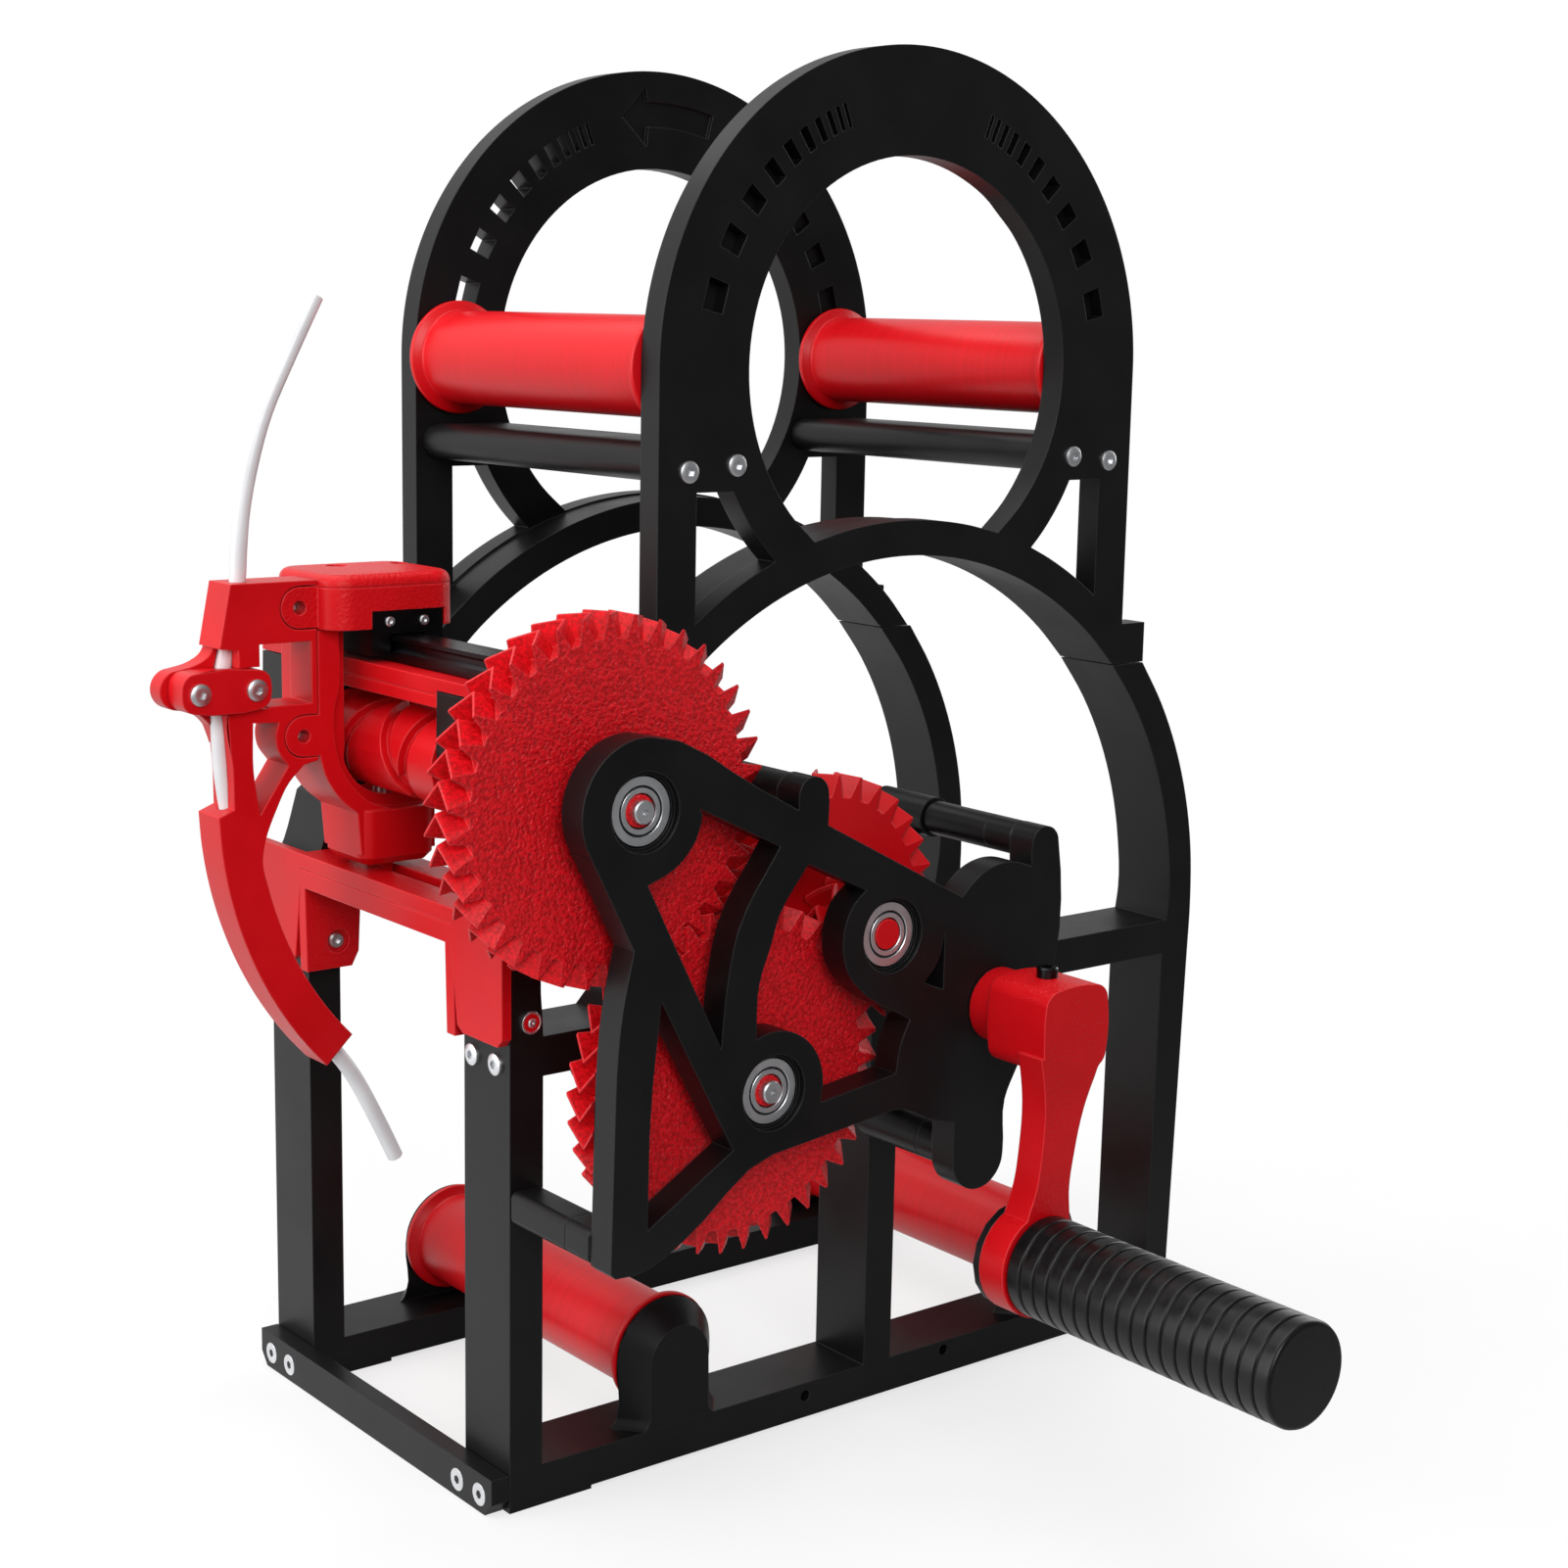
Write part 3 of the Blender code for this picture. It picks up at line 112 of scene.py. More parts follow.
# softened edges with a lighter line along them, a painted highlight where the edges catch the
# light, over a fine relief
def finishSurface(tree, shader, colour, height, relief, edge, edgeHighlight=None):
    rounding = tree.nodes.new("ShaderNodeBevel")
    rounding.samples = 6
    rounding.inputs["Radius"].default_value = edge
    node = tree.nodes.new("ShaderNodeBump")
    link(tree, rounding.outputs["Normal"], node.inputs["Normal"])
    node.inputs["Distance"].default_value = relief[0]
    node.inputs["Strength"].default_value = relief[1]
    link(tree, height, node.inputs["Height"])
    link(tree, node.outputs["Normal"], shader.inputs["Normal"])
    if edgeHighlight is None:
        link(tree, colour, shader.inputs["Base Color"])
        return node
    shape = tree.nodes.new("ShaderNodeNewGeometry")
    bend = tree.nodes.new("ShaderNodeVectorMath")
    bend.operation = "DOT_PRODUCT"
    link(tree, rounding.outputs["Normal"], bend.inputs[0])
    link(tree, shape.outputs["True Normal"], bend.inputs[1])
    # the edge line is painted highlight: lighter colour where the bevelled normal bends away from
    # the flat
    rim = tree.nodes.new("ShaderNodeMix")
    rim.data_type = "RGBA"
    link(tree, spread(tree, bend.outputs["Value"], 1.0, 0.0, 0.86, 0.985), rim.inputs[0])
    link(tree, colour, rim.inputs[6])
    rim.inputs[7].default_value = (*edgeHighlight, 1.0)
    link(tree, rim.outputs[2], shader.inputs["Base Color"])
    return node


# the two lighter edge colours here are painted highlights laid along the edges
plastic = {"black": (0.0045, 0.0046, 0.0050), "blackWorn": (0.0068, 0.0069, 0.0074),
           "blackEdgeHighlight": (0.030, 0.030, 0.032), "red": (0.66, 0.0035, 0.008),
           "redDeep": (0.57, 0.0025, 0.006), "redEdgeHighlight": (0.86, 0.035, 0.042)}


def blackSatin():
    finish, tree, shader, where = newFinish("blackSatin", plastic["black"], 0.36, specular=0.2)
    cloudy = noise(tree, where, 60.0, 4.0)
    colour = blendColour(tree, cloudy, plastic["black"], plastic["blackWorn"])
    link(tree, spread(tree, cloudy, 0.33, 0.42), shader.inputs["Roughness"])
    finishSurface(tree, shader, colour, noise(tree, where, 2400.0, 2.0), (0.00003, 0.3), 0.0004,
                  plastic["blackEdgeHighlight"])
    return finish


def sideways(tree, axis):  # how squarely the surface faces along one axis
    shape = tree.nodes.new("ShaderNodeNewGeometry")
    split = tree.nodes.new("ShaderNodeSeparateXYZ")
    link(tree, shape.outputs["True Normal"], split.inputs["Vector"])
    return calculate(tree, "ABSOLUTE", split.outputs[axis], 0.0)


def redSatin(name="redSatin", grain=2400.0, depth=0.00003, strength=0.3, smoothEnds=False):
    finish, tree, shader, where = newFinish(name, plastic["red"], 0.36, specular=0.25)
    cloudy = noise(tree, where, 45.0, 3.0)
    colour = blendColour(tree, cloudy, plastic["redDeep"], plastic["red"])
    link(tree, spread(tree, cloudy, 0.32, 0.42), shader.inputs["Roughness"])
    node = finishSurface(tree, shader, colour, noise(tree, where, grain, 2.0), (depth, strength),
                         0.0006, plastic["redEdgeHighlight"])
    if smoothEnds:  # no grain on the faces that look along the frames
        link(tree, spread(tree, sideways(tree, "X"), strength, 0.05, 0.5, 0.8),
             node.inputs["Strength"])
    return finish


# mould texture on the wheels' flat faces: grains about a millimetre across, smooth tooth flanks
def redPebbled():
    finish, tree, shader, where = newFinish("redPebbled", plastic["redDeep"], 0.38, specular=0.3)
    grains = noise(tree, where, 1150.0, 1.0)
    fine = calculate(tree, "MULTIPLY", noise(tree, where, 2200.0), 0.3)
    both = calculate(tree, "ADD", fine, grains)
    # raised grains are painted lighter: their own tone plus painted glints on the pebbles
    colour = blendColour(tree, grains, (0.44, 0.0018, 0.0045), (0.82, 0.008, 0.016))
    link(tree, spread(tree, grains, 0.48, 0.28), shader.inputs["Roughness"])
    node = finishSurface(tree, shader, colour, both, (0.0006, 0.9), 0.0005, plastic["redEdgeHighlight"])
    link(tree, spread(tree, sideways(tree, "Y"), 0.06, 0.9, 0.75, 0.95), node.inputs["Strength"])
    return finish


# turned rollers: fine lines round the axle
def redBrushed():
    finish, tree, shader, where = newFinish("redBrushed", plastic["red"], 0.34, specular=0.3)
    lines = noise(tree, where, 1.0, 3.0, stretch=(18.0, 1500.0, 18.0))
    colour = blendColour(tree, lines, (0.62, 0.003, 0.007), (0.70, 0.004, 0.009))
    link(tree, spread(tree, lines, 0.31, 0.37), shader.inputs["Roughness"])
    finishSurface(tree, shader, colour, lines, (0.00002, 0.15), 0.0003)
    return finish


def steelFinish(name, colour, low, high, grain=(1.0, 1.0, 1.0)):
    finish, tree, shader, where = newFinish(name, colour, low, metallic=1.0)
    marks = noise(tree, where, 260.0, 3.0, grain)
    lighter = tuple(min(1.0, part * 1.1) for part in colour)
    link(tree, spread(tree, marks, low, high), shader.inputs["Roughness"])
    link(tree, blendColour(tree, marks, colour, lighter), shader.inputs["Base Color"])
    relief = tree.nodes.new("ShaderNodeBump")
    relief.inputs["Distance"].default_value = 0.000005
    relief.inputs["Strength"].default_value = 0.1
    link(tree, marks, relief.inputs["Height"])
    link(tree, relief.outputs["Normal"], shader.inputs["Normal"])
    return finish


def whiteTube():
    finish, tree, shader, where = newFinish("whiteTube", (0.8, 0.81, 0.83), 0.3)
    cloudy = noise(tree, where, 120.0, 2.0)
    colour = blendColour(tree, cloudy, (0.72, 0.73, 0.75), (0.79, 0.80, 0.82))
    finishSurface(tree, shader, colour, noise(tree, where, 300.0, 2.0), (0.00001, 0.1), 0.0001)
    return finish


def gripRubber():
    finish, tree, shader, where = newFinish("gripRubber", (0.004, 0.004, 0.0044), 0.3,
                                            specular=0.25)
    cloudy = noise(tree, where, 300.0, 3.0)
    colour = blendColour(tree, cloudy, (0.0035, 0.0035, 0.0038), (0.006, 0.006, 0.0064))
    link(tree, spread(tree, cloudy, 0.27, 0.38), shader.inputs["Roughness"])
    finishSurface(tree, shader, colour, noise(tree, where, 1800.0, 3.0), (0.00004, 0.2), 0.00015)
    return finish


finishes = {
    "blackSatin": blackSatin(),
    "redSatin": redSatin(),
    "redGrained": redSatin("redGrained", grain=1100.0, depth=0.0004, strength=0.6,
                           smoothEnds=True),
    "redPebbled": redPebbled(),
    "redBrushed": redBrushed(),
    "steel": steelFinish("groundSteel", (0.66, 0.67, 0.69), 0.34, 0.42),
    "darkSteel": steelFinish("darkSteel", (0.030, 0.031, 0.034), 0.26, 0.32, (1.0, 0.1, 1.0)),
    "whiteTube": whiteTube(),
    "gripRubber": gripRubber(),
}
print("finishes", len(finishes))


# shapes

def newMesh(name, work):
    mesh = bpy.data.meshes.new(name)
    work.to_mesh(mesh)
    work.free()
    made = bpy.data.objects.new(name, mesh)
    bpy.context.scene.collection.objects.link(made)
    return made


# skin through rings of equal counts; the ends are capped unless the loop is closed
def ringsToMesh(name, rings, closed=False):
    work = bmesh.new()
    loops = [[work.verts.new(co) for co in ring] for ring in rings]
    pairs = list(zip(loops, loops[1:]))
    if closed:
        pairs.append((loops[-1], loops[0]))
    else:
        work.faces.new(loops[0])
        work.faces.new(loops[-1])
    count = len(loops[0])
    for low, high in pairs:
        for k in range(count):
            work.faces.new((low[k], low[(k + 1) % count], high[(k + 1) % count], high[k]))
    bmesh.ops.recalc_face_normals(work, faces=work.faces)
    return newMesh(name, work)


# a closed turned body about an axle along y; the profile is (y, radius) points
def turned(name, profile, axis, steps=96, bored=False):
    rings = []
    for y, radius in profile:
        rings.append([place(axis[0] + radius * math.cos(2 * math.pi * k / steps), y,
                            axis[1] + radius * math.sin(2 * math.pi * k / steps))
                      for k in range(steps)])
    return ringsToMesh(name, rings, closed=bored)


def block(xs, ys, zs):
    return ringsToMesh("tool", [[place(x, y, z) for x, y in ((xs[0], ys[0]), (xs[1], ys[0]),
                                                             (xs[1], ys[1]), (xs[0], ys[1]))]
                                for z in zs])


def peg(axis, radius, ys, steps=32):
    return turned("tool", [(ys[0], radius), (ys[1], radius)], axis, steps)


def sweepArc(axis, radius, start, end, steps):
    return [(axis[0] + radius * math.cos(math.radians(start + (end - start) * k / steps)),
             axis[1] + radius * math.sin(math.radians(start + (end - start) * k / steps)))
            for k in range(steps + 1)]


def roundedOutline(xs, ys, radius, steps=8):
    outline = []
    west, east, south, north = xs[0] + radius, xs[1] - radius, ys[0] + radius, ys[1] - radius
    for x, y, turn in ((east, north, 0), (west, north, 90), (west, south, 180), (east, south, 270)):
        outline += sweepArc((x, y), radius, turn, turn + 90, steps)
    return outline


# corner normals lean to the widest flat beside them, so flats stay even and rounds stay smooth
def shade(made, angle=34.0):
    mesh = made.data
    limit = math.cos(math.radians(angle))
    area, plane, around = {}, [], [[] for _ in mesh.vertices]
    for face in mesh.polygons:
        face.use_smooth = True
        normal = face.normal
        key = (round(normal.x, 3), round(normal.y, 3), round(normal.z, 3),
               round(normal.dot(face.center), 5))
        plane.append(key)
        area[key] = area.get(key, 0.0) + face.area
        for corner in face.vertices:
            around[corner].append(face.index)
    normals = [Vector()] * len(mesh.loops)
    for face in mesh.polygons:
        for corner in face.loop_indices:
            total, met = Vector(), set()
            for other in around[mesh.loops[corner].vertex_index]:
                normal = mesh.polygons[other].normal
                if plane[other] not in met and normal.dot(face.normal) >= limit:
                    met.add(plane[other])
                    total += normal * area[plane[other]]
            normals[corner] = total.normalized() if total.length > 0 else face.normal.copy()
    mesh.normals_split_custom_set(normals)
    return made


# bakes the live modifiers into the mesh
def settle(made):
    bpy.context.view_layer.update()
    graph = bpy.context.evaluated_depsgraph_get()
    mesh = bpy.data.meshes.new_from_object(made.evaluated_get(graph))
    made.modifiers.clear()
    made.data = mesh
    return made


def carve(made, *tools, operation="DIFFERENCE"):
    for tool in tools:
        cutter = made.modifiers.new("carve", "BOOLEAN")
        cutter.operation = operation
        cutter.solver = "EXACT"
        cutter.object = tool
        settle(made)
        bpy.data.objects.remove(tool, do_unlink=True)
    return made


def finishPiece(made, finish, body, slot, *nodes):
    made.data.materials.clear()
    made.data.materials.append(finishes[finish])
    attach(made, body)
    if nodes:
        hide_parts(*nodes)
    return made


bodyOf = {node: body for body, nodes in frame["record"]["behaviour"]["bodies"].items()
          for node in nodes}


# rounds the short steps of a solid's curves where it faces along the axles: a turn above gentle
# stays a corner, dissolve merges faces that are flat together, and even leaves straight steps
curve = {"gentle": math.cos(math.radians(31.0)), "shortest": 0.0012, "cuts": 3, "dissolve": 0.004,
         "level": 0.00001, "facing": 0.999, "corner": 0.6, "even": 0.99999,
         "samePlane": 0.000001, "onStep": 0.0000005}


# direction of travel at a corner, towards the corner ahead
def curveTangent(corner, ahead, beside, straight):
    onward = (ahead - corner).normalized()
    if beside is None:
        return onward
    arrived = (corner - beside).normalized()
    if arrived.dot(onward) < curve["gentle"]:
        return onward
    near, far = (ahead - corner).length, (corner - beside).length
    if far > straight:
        return arrived
    return (arrived * near + onward * far).normalized()


def smoothOutlines(work, straight):
    bmesh.ops.dissolve_limit(work, angle_limit=curve["dissolve"], verts=work.verts,
                             edges=work.edges)
    work.normal_update()
    rims, beside = [], {}
    for edge in work.edges:
        rise = abs(edge.verts[0].co.y - edge.verts[1].co.y)
        if len(edge.link_faces) != 2 or rise > curve["level"]:
            continue
        first, second = (face.normal for face in edge.link_faces)
        facing = max(abs(first.y), abs(second.y))
        if first.dot(second) < curve["corner"] and facing > curve["facing"]:
            rims.append(edge)
            for vert in edge.verts:
                beside.setdefault(vert, []).append(edge)
    chosen, spans = [], []
    for edge in rims:
        start, end = edge.verts
        length = edge.calc_length()
        if not curve["shortest"] < length < straight:
            continue
        ways = []
        for here, there in ((start, end), (end, start)):
            others = [other for other in beside[here] if other is not edge]
            other = others[0].other_vert(here).co if len(others) == 1 else None
            ways.append(curveTangent(here.co, there.co, other, straight))
        onward = (end.co - start.co).normalized()
        if min(ways[0].dot(onward), ways[1].dot(-onward)) > curve["even"]:
            continue
        chosen.append(edge)
        spans.append((start.co.copy(), end.co.copy(), ways[0] * length, -ways[1] * length))
    added = bmesh.ops.subdivide_edges(work, edges=chosen, cuts=curve["cuts"],
                                      use_grid_fill=True)["geom_inner"]
    for vert in added:
        if not isinstance(vert, bmesh.types.BMVert):
            continue
        for start, end, leave, arrive in spans:
            if abs(vert.co.y - start.y) > curve["samePlane"]:
                continue
            along = end - start
            t = (vert.co - start).dot(along) / along.length_squared
            if 0.0 < t < 1.0 and (start + along * t - vert.co).length < curve["onStep"]:
                vert.co = (start * (2 * t**3 - 3 * t**2 + 1) + leave * (t**3 - 2 * t**2 + t)
                           + end * (3 * t**2 - 2 * t**3) + arrive * (t**3 - t**2))
                break


sameSpot = 0.000002  # corners closer than this are one


# a clean copy of a carried-over solid, with small carvings, in its finish; where straight is
# given, shorter steps are rounded
def dress(node, finish, slot, *tools, straight=None):
    work = bmesh.new()
    work.from_mesh(frame["nodes"][node].data)
    bmesh.ops.remove_doubles(work, verts=work.verts, dist=sameSpot)
    made = carve(newMesh(node + "Body", work), *tools)
    if straight:
        work = bmesh.new()
        work.from_mesh(made.data)
        smoothOutlines(work, straight)
        work.to_mesh(made.data)
        work.free()
    return finishPiece(shade(made), finish, bodyOf[node], slot, node)


# side frames: blind holes in the beam, feet under both ends
past = 1.0  # how far a cutting tool reaches beyond a surface
sideFrame = {"face": 58.4, "inside": 38.4, "holes": ((-27.8, 6.8), (20.5, 7.7)), "hole": 1.5,
             "holeDepth": 7.0, "footRise": 0.9, "footEnds": (-95.0, 97.0)}


def frameCuts(side):
    face, inside = side * sideFrame["face"], side * sideFrame["inside"]
    tools = [peg(spot, sideFrame["hole"], (face - side * sideFrame["holeDepth"],
                                           face + side * past))
             for spot in sideFrame["holes"]]
    ys = (min(face, inside) - past, max(face, inside) + past)
    tools.append(block(sideFrame["footEnds"], ys, (-past, sideFrame["footRise"])))
    return tools


dress("near_side_frame", "blackSatin", "black_plastic", *frameCuts(-1), straight=0.02)
dress("far_side_frame", "blackSatin", "black_plastic", *frameCuts(1), straight=0.02)
print("side frames dressed")

# turning direction, sunk into the far ring's inner face; its points are (radius, angle)
ringAxis = (0.0, 271.1)
arrow = {"face": 51.2, "depth": 1.1, "tip": (66.5, 100.8), "head": ((73.6, 93.6), (57.8, 94.1)),
         "tail": (69.8, 63.1), "from": 93.2, "to": 74.4, "steps": 10}


def arrowTool():
    outline, steps = [arrow["tip"], arrow["head"][0]], arrow["steps"]
    for radius, start, end in ((arrow["tail"][0], arrow["from"], arrow["to"]),
                               (arrow["tail"][1], arrow["to"], arrow["from"])):
        outline += [(radius, start + (end - start) * k / steps) for k in range(steps + 1)]
    outline.append(arrow["head"][1])
    flat = [(ringAxis[0] + r * math.cos(math.radians(a)),
             ringAxis[1] + r * math.sin(math.radians(a))) for r, a in outline]
    return ringsToMesh("tool", [[place(x, y, z) for x, z in flat]
                                for y in (arrow["face"] - past, arrow["face"] + arrow["depth"])])


dress("near_ring_frame", "blackSatin", "black_plastic", straight=0.018)
dress("far_ring_frame", "blackSatin", "black_plastic", arrowTool(), straight=0.018)

# thin webs close the slots that look blind, all but the far ring's left ones
slotWeb = {"radii": (60.6, 68.0), "steps": 24,
           "rows": {"near_left": ((171.0, 100.0), (-54.2, -53.2)),
                    "near_right": ((9.0, 80.0), (-54.2, -53.2)),
                    "far_right": ((9.0, 80.0), (53.2, 54.2))}}
inner, outer = slotWeb["radii"]
for label, ((start, end), ys) in slotWeb["rows"].items():
    flat = (sweepArc(ringAxis, inner, start, end, slotWeb["steps"])
            + sweepArc(ringAxis, outer, end, start, slotWeb["steps"]))
    web = ringsToMesh(label + "_web", [[place(x, y, z) for x, z in flat] for y in ys])
    finishPiece(shade(web), "blackSatin", "frame", "black_plastic")
for node in ("left_crossbar", "right_crossbar", "left_tie_bar", "right_tie_bar", "handle_bolt"):
    dress(node, "blackSatin", "black_plastic")

# gearbox plate: its bearings sit back in wider seats
axles = {"cam": (-110.0, 177.0), "second": (-37.777, 139.684), "idler": (-72.903, 107.206),
         "crank": (-3.5, 118.0)}
seat = {"face": -99.5, "radius": 9.1, "depth": 1.8, "steps": 64}
dress("gearbox_plate", "blackSatin", "black_plastic",
      *[peg(axis, seat["radius"], (seat["face"] - past, seat["face"] + seat["depth"]),
            seat["steps"]) for axis in axles.values()], straight=0.034)
print("ring frames and bars dressed")

# standoffs: two halves that meet in a fine line
standoff = {"near": -91.2, "far": -58.7, "joint": -81.6, "line": 0.3, "sink": 0.35, "break": 0.4,
            "round": {"middle": ((-62.7, 175.7), 4.3), "right": ((11.6, 156.3), 4.4),
                      "low": ((-7.7, 79.3), 5.2)},
            "flat": ((-118.6, -109.8), (72.8, 81.0), 1.8)}


def standoffSteps():  # (y, how far the skin stands back)
    near, far, joint = standoff["near"], standoff["far"], standoff["joint"]
    half, sink, edge = standoff["line"] / 2, standoff["sink"], standoff["break"]
    return [(near, edge), (near + edge, 0.0), (joint - half, 0.0), (joint - half, sink),
            (joint + half, sink), (joint + half, 0.0), (far - edge, 0.0), (far, edge)]


for label, (axis, radius) in standoff["round"].items():
    profile = [(y, radius - back) for y, back in standoffSteps()]
    made = turned(label + "Standoff", profile, axis, 48)
    finishPiece(shade(made), "blackSatin", "frame", "black_plastic", "standoff_" + label)
flatX, flatZ, flatRound = standoff["flat"]
flatRings = []
for y, back in standoffSteps():
    outline = roundedOutline((flatX[0] + back, flatX[1] - back), (flatZ[0] + back, flatZ[1] - back),
                             flatRound - back)
    flatRings.append([place(x, y, z) for x, z in outline])
finishPiece(shade(ringsToMesh("leftStandoff", flatRings)), "blackSatin", "frame", "black_plastic",
            "standoff_left")

shaftEnd = {"radius": 4.3, "cam": 2.3, "idler": 2.3, "second": 1.9}


def endCut(key):  # the shaft stops inside its bearing
    return peg(axles[key], shaftEnd["radius"], (seat["face"] - past, seat["face"] + shaftEnd[key]))


dress("cam_gear", "redPebbled", "red_plastic", endCut("cam"))
dress("idler_gear", "redPebbled", "red_plastic", endCut("idler"))
dress("second_gear", "redSatin", "red_plastic", endCut("second"))
for node in ("drive_shaft", "spool_driver", "cam_drum"):
    dress(node, "redSatin", "red_plastic")
for node in ("linear_rail", "rail_block"):
    dress(node, "darkSteel", "dark_steel")
for node in ("follower_pin", "lower_left_axle", "lower_right_axle", "upper_left_axle",
             "upper_right_axle"):
    dress(node, "steel", "steel")
print("gears and rail dressed")

# red mouldings with their joint lines
seam = {"width": 0.3, "depth": 0.25}


def seamTools(xs, ys, z):
    half, depth = seam["width"] / 2, seam["depth"]
    return [block((xs[0] - past, xs[0] + depth), ys, (z - half, z + half)),
            block((xs[1] - depth, xs[1] + past), ys, (z - half, z + half))]


cheek = {"spot": (-112.0, 121.3), "hole": 3.1, "face": 34.5, "depth": 1.4}
dress("rail_beam", "redGrained", "red_plastic", *seamTools((-120.0, -100.0), (-28.0, 28.0), 194.6))
dress("guide_bar", "redGrained", "red_plastic", *seamTools((-121.5, -98.5), (-37.0, 37.0), 141.4),
      *[peg(cheek["spot"], cheek["hole"], (side * (cheek["face"] - past),
                                           side * (cheek["face"] + cheek["depth"])))
        for side in (-1, 1)])
for node in ("follower_bracket", "tube_arm", "tube_clamp"):
    dress(node, "redSatin", "red_plastic", straight=0.018)
dress("crank_arm", "redGrained", "red_plastic", straight=0.018)

# block cover: a lid with a rounded rim on a skirt, two round recesses sunk in its top, the upper
# lug
cover = {"xs": (-131.8, -95.4), "ys": (0.5, 31.5), "zs": (207.0, 220.3), "corner": 7.0,
         "rim": 2.6, "lid": 217.3, "sunk": ((-117.0, 24.0), (-99.5, 22.6)), "sunkRadius": 2.7,
         "sunkDepth": 2.2, "lug": (-136.6, 212.5), "lugRadius": 5.0, "lugYs": (6.6, 12.0),
         "lugJoin": 2.0, "lugHole": 1.7, "lugHoleYs": (5.0, 14.0),
         "hollow": ((-120.3, -99.7), (-1.0, 33.0), (205.0, 211.3))}


def coverBody():
    low, high = cover["zs"]
    half = seam["width"] / 2
    levels = [(low, 0.0), (cover["lid"] - half, 0.0), (cover["lid"] - half, seam["depth"]),
              (cover["lid"] + half, seam["depth"]), (cover["lid"] + half, 0.0)]
    for k in range(7):
        turn = math.radians(15.0 * k)
        levels.append((high - cover["rim"] * (1 - math.sin(turn)),
                       cover["rim"] * (1 - math.cos(turn))))
    rings = []
    for z, back in levels:
        outline = roundedOutline((cover["xs"][0] + back, cover["xs"][1] - back),
                                 (cover["ys"][0] + back, cover["ys"][1] - back),
                                 cover["corner"] - back)
        rings.append([place(x, y, z) for x, y in outline])
    made = ringsToMesh("blockCover", rings)
    x, z = cover["lug"]
    lug = sweepArc((x, z), cover["lugRadius"], 90.0, 270.0, 16)
    join = cover["xs"][0] + cover["lugJoin"]
    lug += [(join, z - cover["lugRadius"]), (join, z + cover["lugRadius"])]
    ear = ringsToMesh("tool", [[place(a, y, b) for a, b in lug] for y in cover["lugYs"]])
    carve(made, ear, operation="UNION")
    tools = [block(*cover["hollow"]), peg(cover["lug"], cover["lugHole"], cover["lugHoleYs"])]
    for x, y in cover["sunk"]:
        rings = [[place(x + cover["sunkRadius"] * math.cos(k * math.pi / 16),
                        y + cover["sunkRadius"] * math.sin(k * math.pi / 16), z)
                  for k in range(32)] for z in (high - cover["sunkDepth"], high + past)]
        tools.append(ringsToMesh("tool", rings))
    return shade(carve(made, *tools))


finishPiece(coverBody(), "redGrained", "carriage", "red_plastic", "block_cover")
print("carriage mouldings dressed")

# guide tube: one smooth bend through the arm, with its bore at both ends
guideTube = {"radius": 2.0, "bore": 1.0, "deep": 4.0, "y": 12.0, "break": 0.15, "between": 4,
             "sweep": (-59.1, 166.9), "sweepRadius": 94.7, "sweepTurn": (182.5, 224.5, 8),
             "top": ((-128.4, 286.2), (-135.9, 272.0), (-142.3, 259.0), (-146.2, 247.0),
                     (-148.6, 236.1), (-149.6, 227.0), (-150.2, 218.8), (-151.8, 209.5),
                     (-154.0, 200.3), (-155.4, 193.0), (-155.7, 185.0), (-155.2, 174.0)),
             "tail": ((-120.2, 91.5), (-114.0, 79.8), (-108.5, 68.3))}


def tubeBody():
    points = list(guideTube["top"])
    points += sweepArc(guideTube["sweep"], guideTube["sweepRadius"], *guideTube["sweepTurn"])
    points += guideTube["tail"]
    smooth = []
    for k in range(len(points) - 1):  # a curve through every point
        before, start = Vector(points[max(k - 1, 0)]), Vector(points[k])
        end, after = Vector(points[k + 1]), Vector(points[min(k + 2, len(points) - 1)])
        for j in range(guideTube["between"]):
            t = j / guideTube["between"]
            smooth.append(0.5 * (2 * start + (end - before) * t
                                 + (2 * before - 5 * start + 4 * end - after) * t**2
                                 + (3 * start - before - 3 * end + after) * t**3))
    smooth.append(Vector(points[-1]))

    def ring(k, radius, along=0.0, steps=32):
        way = (smooth[min(k + 1, len(smooth) - 1)] - smooth[max(k - 1, 0)]).normalized()
        spot = smooth[k] + way * along
        made = []
        for i in range(steps):
            turn = 2 * math.pi * i / steps
            flat = spot + Vector((way.y, -way.x)) * (radius * math.cos(turn))
            made.append(place(flat.x, guideTube["y"] + radius * math.sin(turn), flat.y))
        return made

    last, bore, radius = len(smooth) - 1, guideTube["bore"], guideTube["radius"]
    deep, edge = guideTube["deep"], guideTube["break"]
    rings = [ring(0, bore, deep), ring(0, bore), ring(0, radius - edge), ring(0, radius, edge)]
    rings += [ring(k, radius) for k in range(1, last)]
    rings += [ring(last, radius, -edge), ring(last, radius - edge), ring(last, bore),
              ring(last, bore, -deep)]
    return shade(ringsToMesh("guideTube", rings))


finishPiece(tubeBody(), "whiteTube", "carriage", "white_tube", "guide_tube")
print("guide tube bent")

# rollers
roller = {"reach": 50.7, "radius": 12.2, "flange": 14.8, "lip": 3.0, "bore": 2.8}
rollerSpots = {"lower_left": (-68.4, 26.9), "lower_right": (61.4, 26.9),
               "upper_left": (-65.5, 271.1), "upper_right": (65.5, 271.1)}


